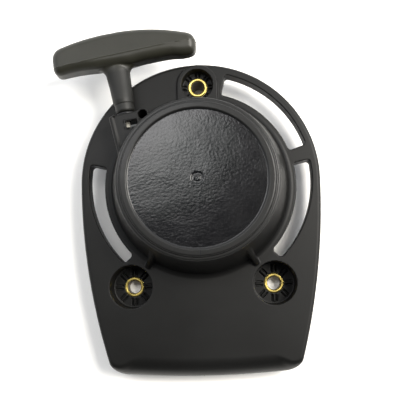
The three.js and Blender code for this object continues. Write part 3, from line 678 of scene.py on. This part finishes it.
def plastic(name, colour, roughness, grain_depth, specular, cloud=0.12):
    """Moulded plastic: clouded colour, spark-eroded grain, brighter and smoother rubbed edges."""
    s = Shader(name, Specular_IOR_Level=specular)
    cloud_noise = s.noise(14, 3)
    smear = s.noise(45, 2)
    fine = s.noise(0.35, 3, 0.6)
    dark = [c * (1 - cloud) for c in colour]
    light = [c * (1 + cloud) for c in colour]
    base = s.mix(s.ramp(cloud_noise, 0.3, 0.7), dark, light)
    rubbed = s.ramp(s.attribute("edge"), 0.15, 0.7, 0.0, 0.5)
    base = s.mix(rubbed, base, [min(1, c * 2.2 + 0.012) for c in colour])
    s.drive("Base Color", base)
    worn = s.math("MULTIPLY", rubbed, -0.12)
    rough = s.math("ADD", s.ramp(smear, 0.3, 0.7, roughness - 0.05, roughness + 0.05), worn)
    s.drive("Roughness", s.math("ADD", rough, s.ramp(fine, 0.3, 0.7, -0.03, 0.03)))
    s.drive("Normal", s.bump(fine, grain_depth))
    return s


def housing_material():
    """The satin housing, with the glossier cup top and the pebbled disc in it."""
    s = plastic("housing_plastic", (0.004, 0.004, 0.0038), 0.46, grain_depth=0.01, specular=0.19)
    satin = {name: s.driver_of(name) for name in ("Base Color", "Roughness", "Normal")}
    flat = s.node("ShaderNodeVectorMath", {0: s.place, 1: (1, 1, 0)}, operation="MULTIPLY").outputs[0]
    from_axis = s.node("ShaderNodeVectorMath", {0: flat, 1: (AXIS.x, AXIS.y, 0)}, operation="DISTANCE")
    reach = from_axis.outputs["Value"]
    height = s.node("ShaderNodeSeparateXYZ", {0: s.place}).outputs[2]
    on_top = s.ramp(height, 42.5 * MM, 44.5 * MM)
    on_disc = s.math("MULTIPLY", on_top, s.ramp(reach, (DISC_RADIUS + 0.2) * MM, (DISC_RADIUS - 0.2) * MM))
    pits = s.noise(1.2, 2, 0.6)
    smears = s.noise(11, 3, 0.6)
    gloss = s.math("ADD", s.ramp(smears, 0.35, 0.7, 0.14, 0.24), s.ramp(pits, 0.35, 0.7, -0.03, 0.05))
    wavy = s.bump(s.noise(16, 1, 0.4), 0.2)
    uneven = s.bump(s.noise(5, 3, 0.65), 0.016, under=wavy)
    pitted = s.bump(pits, 0.085, under=uneven)
    s.drive("Base Color", s.mix(on_disc, satin["Base Color"], (0.0014, 0.0014, 0.0019)))
    s.drive("Roughness", s.blend(on_disc, satin["Roughness"], gloss))
    s.principled.inputs["Coat Roughness"].default_value = 0.2
    s.drive("Coat Weight", s.math("ADD", s.math("MULTIPLY", on_top, 0.2), s.math("MULTIPLY", on_disc, 0.4)))
    normals = {0: on_disc, 4: satin["Normal"], 5: pitted}
    normal = s.node("ShaderNodeMix", normals, data_type="VECTOR").outputs[1]
    s.drive("Normal", normal)
    s.drive("Coat Normal", normal)
    return s.material


def handle_material():
    """The olive-grey grip, with shade painted onto the stem as a darker base colour, and a duller stem."""
    s = plastic("handle_plastic", (0.014, 0.0137, 0.0094), 0.4, grain_depth=0.012, cloud=0.15, specular=0.34)
    grip = {name: s.driver_of(name) for name in ("Base Color", "Roughness")}
    dot = s.node("ShaderNodeVectorMath", {0: s.place, 1: tuple(PULL)}, operation="DOT_PRODUCT")
    along = dot.outputs["Value"]
    start, end = (float(to_frame(pull_point(0, b)).dot(np.array(PULL))) for b in (65.5, 68.5))
    # painted shade: the stem's base colour is made darker than the grip's; the same mask also makes the stem
    # rougher
    stem_shade_and_dull = s.ramp(along, end, start)
    s.drive("Base Color", s.mix(stem_shade_and_dull, grip["Base Color"], (0.004, 0.004, 0.003)))
    s.drive("Roughness", s.math("ADD", grip["Roughness"], s.math("MULTIPLY", stem_shade_and_dull, 0.16)))
    return s.material


def metal(name, colour, roughness, brush_mm=(8.0, 8.0, 0.15), turned_marks=0.004):
    """Metal with fine tool marks and a little tarnish."""
    s = Shader(name, Metallic=1.0)
    streaks = s.noise(1.0, 4, vector=s.mapped(tuple(1 / size for size in brush_mm)))
    stain = s.noise(3.0, 4)
    dull = [0.8 * c for c in colour]
    s.drive("Base Color", s.mix(s.ramp(stain, 0.35, 0.7), colour, dull))
    rough = s.ramp(stain, 0.3, 0.7, roughness - 0.06, roughness + 0.1)
    s.drive("Roughness", rough)
    s.drive("Normal", s.bump(streaks, turned_marks))
    return s.material


def rope_material():
    s = Shader("rope_fibre", Roughness=0.85, Sheen_Weight=0.3, Sheen_Roughness=0.5)
    fibre = s.noise(0.25, 3)
    soil = s.noise(6, 3)
    base = s.mix(s.ramp(soil, 0.35, 0.75), (0.62, 0.6, 0.53), (0.42, 0.4, 0.34))
    base = s.mix(s.ramp(fibre, 0.3, 0.7, 0, 0.35), base, (0.75, 0.74, 0.68))
    s.drive("Base Color", base)
    s.drive("Normal", s.bump(fibre, 0.04))
    return s.material


HOUSING = housing_material()
HANDLE = handle_material()
REEL_PLASTIC = plastic("reel_plastic", (0.008, 0.008, 0.009), 0.4, grain_depth=0.006, specular=0.22).material
BRASS = metal("turned_brass", (0.74, 0.58, 0.17), 0.3, (3.0, 3.0, 0.12), 0.006)
DULL_BRASS = metal("dull_brass", (0.3, 0.27, 0.22), 0.55, (3.0, 3.0, 0.3), 0.01)
STEEL = metal("zinc_steel", (0.56, 0.57, 0.58), 0.32)
SPRING_STEEL = metal("blued_steel", (0.26, 0.29, 0.34), 0.28, (6.0, 6.0, 0.3))
ROPE = rope_material()


def stand_for(piece, body, slot, *names):
    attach(piece, body)
    if names:
        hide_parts(*names)
    return piece


# --- camera, light and floor
def at_mm(x, y, z):
    return Vector(to_frame([x, y, z]))


CAMERA_PLACE = (15.107, -51.288, 346.02)
CAMERA_TURN = (7.11399, 2.45066, -1.64139)  # degrees about x, y and z


def add_camera():
    data = bpy.data.cameras.new("camera")
    data.lens = 55.6
    data.sensor_width = 36
    data.clip_start, data.clip_end = 0.01, 20
    camera = bpy.data.objects.new("camera", data)
    turn = Euler([math.radians(angle) for angle in CAMERA_TURN]).to_matrix()
    camera.matrix_world = Matrix.Translation(at_mm(*CAMERA_PLACE)) @ turn.to_4x4()
    bpy.context.scene.collection.objects.link(camera)
    bpy.context.scene.camera = camera


def area_light(name, place, aim, width, height, watts, colour=(1, 1, 1)):
    data = bpy.data.lights.new(name, "AREA")
    data.shape = "RECTANGLE"
    data.size, data.size_y = width, height
    data.energy = watts
    data.color = colour
    light = bpy.data.objects.new(name, data)
    place, aim = at_mm(*place), at_mm(*aim)
    turn = (aim - place).to_track_quat("-Z", "Y").to_matrix()
    light.matrix_world = Matrix.Translation(place) @ turn.to_4x4()
    bpy.context.scene.collection.objects.link(light)


def add_floor():
    half = 3.0
    corners = [(-half, -half, 0), (half, -half, 0), (half, half, 0), (-half, half, 0)]
    mesh = mesh_from("floor", np.array(corners), [(0, 1, 2, 3)])
    s = Shader("paper", Roughness=0.9, Specular_IOR_Level=0.2)
    s.drive("Base Color", s.mix(s.noise(30, 2), (0.965, 0.955, 0.935), (0.98, 0.97, 0.95)))
    floor = add_object("floor", mesh, [s.material])
    floor.location.z = -0.0002


def add_light():
    scene = bpy.context.scene
    scene.view_settings.view_transform = "Standard"
    world = bpy.data.worlds.new("studio")
    world.use_nodes = True
    nodes, links = world.node_tree.nodes, world.node_tree.links
    height = nodes.new("ShaderNodeSeparateXYZ")
    links.new(nodes.new("ShaderNodeTexCoord").outputs["Generated"], height.inputs[0])
    both = nodes.new("ShaderNodeMath")
    both.operation = "MULTIPLY"
    # bright near the horizon and dim overhead, and dim towards the foot of the picture
    for slot, (axis, *limits) in enumerate(((2, 0.5, 0.95, 2.0, 0.1), (1, -0.65, 0.25, 0.08, 1.0))):
        ramp = nodes.new("ShaderNodeMapRange")
        links.new(height.outputs[axis], ramp.inputs["Value"])
        for socket, value in zip(("From Min", "From Max", "To Min", "To Max"), limits):
            ramp.inputs[socket].default_value = value
        links.new(ramp.outputs[0], both.inputs[slot])
    links.new(both.outputs[0], nodes["Background"].inputs["Strength"])
    nodes["Background"].inputs["Color"].default_value = (0.95, 0.97, 1.0, 1)
    scene.world = world
    area_light("key", (430, 130, 620), (0, 0, 20), 0.4, 0.4, 11.5, (1.0, 0.965, 0.9))
    area_light("softbox", (-230, 205, 650), (-230, 205, 0), 0.42, 0.2, 1.9)


add_camera()
add_light()
add_floor()


# --- housing
housing = moulded("housing_moulding", housing_field, (-63.2, -98.4, 0), (63.2, 66.4, 47), PITCH,
                  [HOUSING], faces=190_000)
stand_for(housing, "casing", "housing_plastic", "housing")


# --- brass sleeves
def knurl(r, z, angle):
    tooth = 0.12 * (1 + math.cos(32 * angle)) if r > 5.0 else 0.0
    return r + tooth, z


for side, boss in BOSSES.items():
    top = boss["top"]
    ring = [(3.5, 0), (4.9, 0), (5.02, 0.4), (5.02, top - 0.45), (4.75, top), (4.05, top), (3.5, top - 0.5)]
    sleeve = turned(f"sleeve_{side}", ring, [BRASS, DULL_BRASS], (boss["x"], boss["y"]), 0.08, 192, knurl)
    middle = Vector(to_frame((boss["x"], boss["y"], 0)))
    for face in sleeve.data.polygons:  # the bore's faces are dull
        face.material_index = int((face.center - middle).xy.length < 3.6 * MM)
    stand_for(sleeve, "casing", "brass", f"bush_{side}")


# --- T-handle
def quadratic(start, control, end, steps=10):
    t = np.linspace(0, 1, steps, endpoint=False)[:, None]
    start, control, end = (np.array(p, float) for p in (start, control, end))
    return (1 - t) ** 2 * start + 2 * t * (1 - t) * control + t * t * end


def cubic(start, one, two, end):
    t = np.linspace(0, 1, 24, endpoint=False)[:, None]
    start, one, two, end = (np.array(p, float) for p in (start, one, two, end))
    return (1 - t) ** 3 * start + 3 * t * (1 - t) ** 2 * one + 3 * t * t * (1 - t) * two + t ** 3 * end


def bar_outline():
    return np.concatenate([
        quadratic((-32.1, 74.4), (-32.2, 70.2), (-28.4, 70.2)),
        quadratic((-28.4, 70.2), (-18.5, 71), (-7.8, 69.2)),
        quadratic((8, 68.6), (20, 69.6), (30, 68.6)),
        quadratic((30, 68.6), (38.6, 66.5), (41.4, 68.1)),
        quadratic((41.4, 68.1), (43.3, 69.4), (43.3, 73.6)),
        quadratic((43.3, 73.6), (43.1, 77.7), (39.8, 79)),
        cubic((39.8, 79), (22, 85.9), (2, 90.1), (-26.9, 84.9)),
        quadratic((-26.9, 84.9), (-32, 83.8), (-32.1, 77.5)),
    ])


class PlanDistance:
    """The signed distance to a closed outline, kept on a fine grid and read between its points."""

    def __init__(self, outline, margin=12.0, pitch=0.25):
        self.pitch = pitch
        self.low = outline.min(0) - margin
        size = ((outline.max(0) + margin - self.low) / pitch).astype(int) + 2
        axes = [self.low[i] + pitch * np.arange(size[i]) for i in range(2)]
        grid_x, grid_y = np.meshgrid(*axes, indexing="ij")
        best = np.full(grid_x.shape, 1e9)
        inside = np.zeros(grid_x.shape, bool)
        for (x0, y0), (x1, y1) in zip(outline, np.roll(outline, -1, 0)):
            dx, dy = x1 - x0, y1 - y0
            t = np.clip(((grid_x - x0) * dx + (grid_y - y0) * dy) / max(dx * dx + dy * dy, 1e-12), 0, 1)
            best = np.minimum(best, np.hypot(grid_x - x0 - t * dx, grid_y - y0 - t * dy))
            crosses = (y0 > grid_y) != (y1 > grid_y)
            inside ^= crosses & (grid_x < x0 + (grid_y - y0) * dx / (dy if dy else 1e-12))
        self.values = np.where(inside, -best, best)

    def __call__(self, a, b):
        u = np.clip((a - self.low[0]) / self.pitch, 0, self.values.shape[0] - 1.001)
        v = np.clip((b - self.low[1]) / self.pitch, 0, self.values.shape[1] - 1.001)
        i, j = u.astype(int), v.astype(int)
        p, q = u - i, v - j
        grid = self.values
        return ((1 - p) * (1 - q) * grid[i, j] + p * (1 - q) * grid[i + 1, j]
                + (1 - p) * q * grid[i, j + 1] + p * q * grid[i + 1, j + 1])


bar_plan = PlanDistance(bar_outline())
STEM_AT = [NOSE_END, 44.7, 45.4, 48.45, 48.6, 48.9, 51, 58, 64, 67, 70, 74, 80]
STEM_FLATTENING = 0.22
STEM_RADIUS = [3.9, 4.5, 4.85, 4.9, 4.8, 5.1, 5.5, 5.75, 6.2, 6.4, 6.3, 5.6, 5.6]


def handle_field(a, b, z):
    """The handle in the pull frame: a across, b along the rope."""
    up = z - BAR_Z
    from_seam = b - BAR_MIDDLE
    crown = np.where(from_seam > 0, 0.05, -0.16) * from_seam
    end_droop = 0.9 * smoothstep(20, 42, np.abs(a - 5))
    bar = meet(bar_plan(a, b), np.abs(up) - (BAR_HALF - 0.1 - crown - end_droop), 3.8)
    seam = np.maximum(np.abs(from_seam) - 0.22, bar - 0.16)
    bar = join(bar, seam, 0.15)
    nub = np.sqrt((a - 43.2) ** 2 + from_seam ** 2 + (z - 27) ** 2) - 0.6
    reach = np.hypot(a - 0.15, z - ROPE_Z)
    flat = 1 - STEM_FLATTENING * smoothstep(NOSE_END + 5, 65.5, b)
    stem = (np.hypot(a - 0.15, (z - ROPE_Z) / flat) - np.interp(b, STEM_AT, STEM_RADIUS)) * 0.9
    stem = meet(np.maximum(stem, b - 76), NOSE_END - b, 0.5)
    fillet = 0.6 + 3.4 * (1 - smoothstep(1.5, 5.0, np.abs(z - ROPE_Z)))
    body = join(join(bar, stem, fillet), nub, 0.2)
    bore = np.maximum(reach - ROPE_BORE, b - 75)
    pocket = np.maximum(reach - KNOT_POCKET, BAR_MIDDLE - b)
    return cut(body, np.minimum(bore, pocket), 0.35)


def from_pull(points):
    xy = FOOT + points[:, :1] * RIGHT + points[:, 1:2] * ALONG
    return to_frame(np.column_stack([xy, points[:, 2]]))


handle = moulded("handle_moulding", handle_field, (-33, 43.8, 19), (44, 88, 35), 0.8 * PITCH, [HANDLE],
                 faces=90_000, place=from_pull)
stand_for(handle, "handle", "handle_plastic", "handle_grip")


# --- rope guide, knot washer and plug
def on_line(name, profile, materials, slot, body, node):
    piece = turned(name, profile, materials, radius=0.25, frame_of=on_rope_line)
    stand_for(piece, body, slot, node)


guide_inner, guide_seat = DUCT["front"] - DUCT["wall"] - 0.4, DUCT["front"] + 0.3
on_line("rope_eyelet", [(ROPE_BORE + 0.1, guide_inner), (GUIDE_SEAT - 0.3, guide_inner),
                        (GUIDE_SEAT - 0.3, guide_seat), (4.9, guide_seat), (4.9, guide_seat + 0.8),
                        (4.5, guide_seat + 1), (ROPE_BORE + 1.0, guide_seat + 1),
                        (ROPE_BORE + 0.1, guide_seat + 0.3)],
        [REEL_PLASTIC], "reel_plastic", "casing", "rope_guide")
on_line("knot_disc", [(ROPE_BORE, 74.3), (KNOT_POCKET - 0.5, 74.3),
                      (KNOT_POCKET - 0.5, 75.5), (ROPE_BORE, 75.5)],
        [STEEL], "steel", "handle", "knot_washer")
plug_end = BAR_BACK - 0.3
on_line("end_plug", [(0, plug_end - 3.8), (KNOT_POCKET - 0.3, plug_end - 3.8),
                     (KNOT_POCKET - 0.3, plug_end - 1), (KNOT_POCKET - 1.5, plug_end - 0.2),
                     (1.7, plug_end), (1.2, plug_end - 0.5), (0, plug_end - 0.5)],
        [HANDLE], "handle_plastic", "handle", "handle_plug")


# --- rope
def wound_rope():
    """Three layers of two turns each, which end where the rope leaves the reel."""
    turns, per_turn, points = 6, 150, []
    for i in range(turns * per_turn + 1):
        t = i / per_turn
        radius, z = ROPE_LINE - 5.8, 25.3
        for k in range(1, turns):
            step = float(smoothstep(k - 0.07, k + 0.07, t))
            radius += 2.9 * step * (k % 2 == 0)
            z += step * 3.4 * (k % 2) * (1 if k % 4 == 1 else -1)
        z += (ROPE_Z - z) * float(smoothstep(turns - 0.15, turns, t))
        angle = math.radians(190) + 2 * math.pi * (turns - t)
        points.append((radius * math.cos(angle), radius * math.sin(angle), z))
    return points


def knot_path(middle, size, turn):
    """The closed curve of a pulled-tight overhand knot."""
    points = []
    for i in range(96):
        t = 2 * math.pi * i / 96
        u, v, w = math.sin(t) + 2 * math.sin(2 * t), math.cos(t) - 2 * math.cos(2 * t), -1.6 * math.sin(3 * t)
        across, along = u * math.cos(turn) - w * math.sin(turn), u * math.sin(turn) + w * math.cos(turn)
        points.append((middle[0] + size * across, middle[1] + size * along, middle[2] + size * v))
    return points


coil = tube("wound_rope", wound_rope(), ROPE_RADIUS, [ROPE], strands=4, lay=11, depth=0.16)
stand_for(coil, "reel", "rope", "rope_coil")
inner_knot = tube("inner_knot", knot_path((-13.6, 7.85, 28.4), 0.55, 1.0), 1.3, [ROPE], 14, closed=True)
stand_for(inner_knot, "reel", "rope", "reel_knot")
outer_knot = tube("outer_knot", knot_path(pull_point(0, 79.0), 0.8, 0.17), 1.5, [ROPE], 14, closed=True)
stand_for(outer_knot, "handle", "rope", "handle_knot")
lead_start, lead_end, lead_moves = 14.6, 75.4, NOSE_END
lead_path = [pull_point(0, b) for b in np.linspace(lead_start, lead_end, 120)]
lead = tube("rope_run", lead_path, ROPE_RADIUS, [ROPE], strands=4, lay=11, depth=0.16)
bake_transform(lead)
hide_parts("rope_lead")


# --- reel
def ring_turn(x, y, count):
    """Distance to the side of the nearest of that many spokes."""
    reach, step = np.hypot(x, y), 2 * math.pi / count
    turn = (np.arctan2(y, x) + step / 2) % step - step / 2
    return np.abs(reach * np.sin(turn))


def reel_field(x, y, z):
    reach = np.hypot(x, y)
    middle = (REEL["low"] + REEL["high"]) / 2
    half = middle - REEL["low"]
    wheel = meet(reach - REEL["radius"], np.abs(z - middle) - half, 0.6)
    groove = meet(REEL["groove"] - reach, np.abs(z - middle) - half + REEL["flange"], 1.2)
    wheel = cut(wheel, groove, 0.5)
    arbor = meet(reach - ARBOR["radius"], z - ARBOR["top"], 0.4)
    body = join(wheel, np.maximum(arbor, middle - z), 0.8)
    pocket = cut(meet(np.abs(reach - 15.7) - 4.7, 25 - z, 0.9), ring_turn(x, y, 6) - 1.0, 0.6)
    recess = cut(meet(np.abs(reach - 27.4) - 5.2, z - REEL["low"] - 0.9, 0.3), ring_turn(x, y, 12) - 0.9, 0.4)
    pins = np.maximum(np.hypot(x, np.abs(y) - PAWL_PIVOT) - PAWL_HOLE, z - 24.6)
    hole_x, hole_y = math.cos(math.radians(150)), math.sin(math.radians(150))
    rope_hole = np.hypot(-x * hole_y + y * hole_x, z - middle) - 1.9
    rope_hole = np.maximum(rope_hole, np.abs(x * hole_x + y * hole_y - 21.5) - 3.5)
    holes = np.minimum(np.minimum(pocket, recess), np.minimum(pins, rope_hole))
    return cut(cut(body, holes, 0.3), reach - REEL["bore"], 0.4)


reel = moulded("reel_moulding", reel_field, (-34.5, -34.5, 20.5), (34.5, 34.5, 41.8), 1.1 * PITCH,
               [REEL_PLASTIC], faces=70_000)
stand_for(reel, "reel", "reel_plastic", "rope_reel")


# --- pawls, their pins and guide plate
def pawl_outline():
    arc = [(3.8 * math.cos(t), 3.8 * math.sin(t)) for t in np.linspace(math.pi / 2, 1.5 * math.pi, 25)]
    back = quadratic((18.9, 1.3), (10, 4.6), (0, 3.8), 20)
    return np.concatenate([arc, [(13.5, -3.2), (18.4, -1.4)], back])


pawl_plan = PlanDistance(pawl_outline(), margin=3.0, pitch=0.15)


def pawl_field(u, v, z):
    middle = (PAWL_LOW + PAWL_HIGH) / 2
    plate = meet(pawl_plan(u, v), np.abs(z - middle) - (PAWL_HIGH - PAWL_LOW) / 2, 0.4)
    peg = meet(np.hypot(u - PEG_REACH, v) - PEG_RADIUS, PEG_LOW - z, 0.25)
    body = join(plate, np.maximum(peg, z - middle), 0.2)
    return cut(body, np.hypot(u, v) - PAWL_HOLE, 0.25)


def peg_place(share):
    tilt = math.radians(PAWL_TILT + share * GUIDE_PLATE["swing"])
    turn = -math.radians(share * GUIDE_PLATE["turn"])
    x, y = PEG_REACH * math.cos(tilt), PAWL_PIVOT + PEG_REACH * math.sin(tilt)
    return x * math.cos(turn) - y * math.sin(turn), x * math.sin(turn) + y * math.cos(turn)


def guide_plate_field(x, y, z):
    reach = np.hypot(x, y)
    middle = (GUIDE_PLATE["low"] + GUIDE_PLATE["high"]) / 2
    plate = meet(reach - GUIDE_PLATE["radius"], np.abs(z - middle) - middle + GUIDE_PLATE["low"], 0.35)
    stops = [peg_place(share) for share in np.linspace(-0.04, 1.04, 9)]
    slot = np.full(np.shape(x), 1e3)
    for (x0, y0), (x1, y1) in zip(stops, stops[1:]):
        dx, dy = x1 - x0, y1 - y0
        for flip in (1, -1):
            px, py = flip * x - x0, flip * y - y0
            t = np.clip((px * dx + py * dy) / (dx * dx + dy * dy), 0, 1)
            slot = np.minimum(slot, np.hypot(px - t * dx, py - t * dy) - PEG_RADIUS - 0.3)
    return cut(plate, np.minimum(slot, reach - GUIDE_PLATE["bore"]), 0.3)


def pawl_place(half_turn):
    def place(points):
        tilt = math.radians(PAWL_TILT)
        x = points[:, 0] * math.cos(tilt) - points[:, 1] * math.sin(tilt)
        y = points[:, 0] * math.sin(tilt) + points[:, 1] * math.cos(tilt) + PAWL_PIVOT
        sign = -1 if half_turn else 1
        return to_frame(np.column_stack([sign * x, sign * y, points[:, 2]]))
    return place


for letter, half_turn in (("a", False), ("b", True)):
    swing = moulded(f"catch_{letter}", pawl_field, (-4.2, -4.2, 12.8), (19.4, 4.8, 21), 0.5 * PITCH, [STEEL],
                    faces=16_000, place=pawl_place(half_turn))
    stand_for(swing, f"pawl_{letter}", "steel", f"pawl_{letter}")
    pin_y = -PAWL_PIVOT if half_turn else PAWL_PIVOT
    pin = turned(f"catch_pin_{letter}", [(0, 15.9), (2, 15.9), (2, 24.2), (0, 24.2)], [STEEL],
                 (0, pin_y), 0.35, 48)
    stand_for(pin, "reel", "steel", f"pawl_pin_{letter}")

plate = moulded("guide_disc", guide_plate_field, (-23, -23, 13), (23, 23, 16), 0.6 * PITCH, [STEEL],
                faces=40_000)
stand_for(plate, "guide", "steel", "pawl_guide")


# --- the stack on the centre post
def waved(r, z, angle):
    return r, z + 0.5 * math.cos(3 * angle)


def hexagonal(r, z, angle):
    """Flats on the screw's head, and a thread up its shank."""
    if z < 9.5 and r > 3:
        apothem = 5 * math.cos(math.pi / 6)
        return min(r, apothem / math.cos((angle + math.pi / 6) % (math.pi / 3) - math.pi / 6)), z
    return r, z


thread = [(2.8 if k % 2 else 2.4, 11.5 + 0.5 * k) for k in range(32)]
head_profile = [(0, 5.2), (4.4, 5.2), (5, 5.7), (5, 9.0), (4.6, 9.4), (2.8, 9.4), *thread, (2.4, 28), (0, 28)]
stack = [
    ("wave_washer", [(6, 12), (8.3, 12), (8.3, 12.4), (6, 12.4)], SPRING_STEEL, "spring_steel",
     "friction_spring", waved, 0.1),
    ("screw_disc", [(3.1, 9.7), (9, 9.7), (9, 11), (3.1, 11)], STEEL, "steel", "screw_washer", None, 0.3),
    ("hex_screw", head_profile, STEEL, "steel", "center_screw", hexagonal, 0.12),
    ("post_sleeve", [(5.8, 21.2), (6.8, 21.2), (6.8, 41.3), (5.8, 41.3)], BRASS, "brass",
     "post_bush", None, 0.2),
    ("spring_pan", [(7.5, 43.1), (33, 43.1), (33, 34.4), (32, 34.4), (32, 42.1), (7.5, 42.1)], STEEL, "steel",
     "spring_case", None, 0.5),
    ("pan_cover", [(10, 33.5), (33, 33.5), (33, 34.1), (10, 34.1)], STEEL, "steel",
     "spring_cover", None, 0.2),
]
for name, profile, material, slot, node, shape, radius in stack:
    piece = turned(name, profile, [material], radius=radius, segments=120, shape=shape)
    stand_for(piece, "casing", slot, node)


def spiral_band():
    """The recoil spring: a spiral band with a hook at each end."""
    steps, half = 72 * SPRING["turns"], SPRING["band"] / 2
    middle = []
    for i in range(steps + 1):
        share = i / steps
        radius = SPRING["inner"] + share * (SPRING["outer"] - SPRING["inner"])
        radius -= 0.5 * float(smoothstep(0.012, 0, share))
        angle = 2 * math.pi * SPRING["turns"] * share
        middle.append((radius * math.cos(angle), radius * math.sin(angle)))
    middle = np.array(middle)
    ahead = np.gradient(middle, axis=0)
    side = np.column_stack([-ahead[:, 1], ahead[:, 0]]) / np.linalg.norm(ahead, axis=1)[:, None] * half
    rows = []
    for sign, z in ((1, SPRING["low"]), (-1, SPRING["low"]), (-1, SPRING["high"]), (1, SPRING["high"])):
        rows.append(np.column_stack([middle + sign * side, np.full(len(middle), z)]))
    points = np.stack(rows, 1).reshape(-1, 3)
    faces = ring_faces(steps + 1, 4)
    faces += [(0, 1, 2, 3), tuple(4 * steps + k for k in (3, 2, 1, 0))]
    mesh = mesh_from("spiral_band", to_frame(points), faces)
    mesh.update()
    return add_object("spiral_band", mesh, [SPRING_STEEL])


stand_for(spiral_band(), "casing", "spring_steel", "recoil_spring")
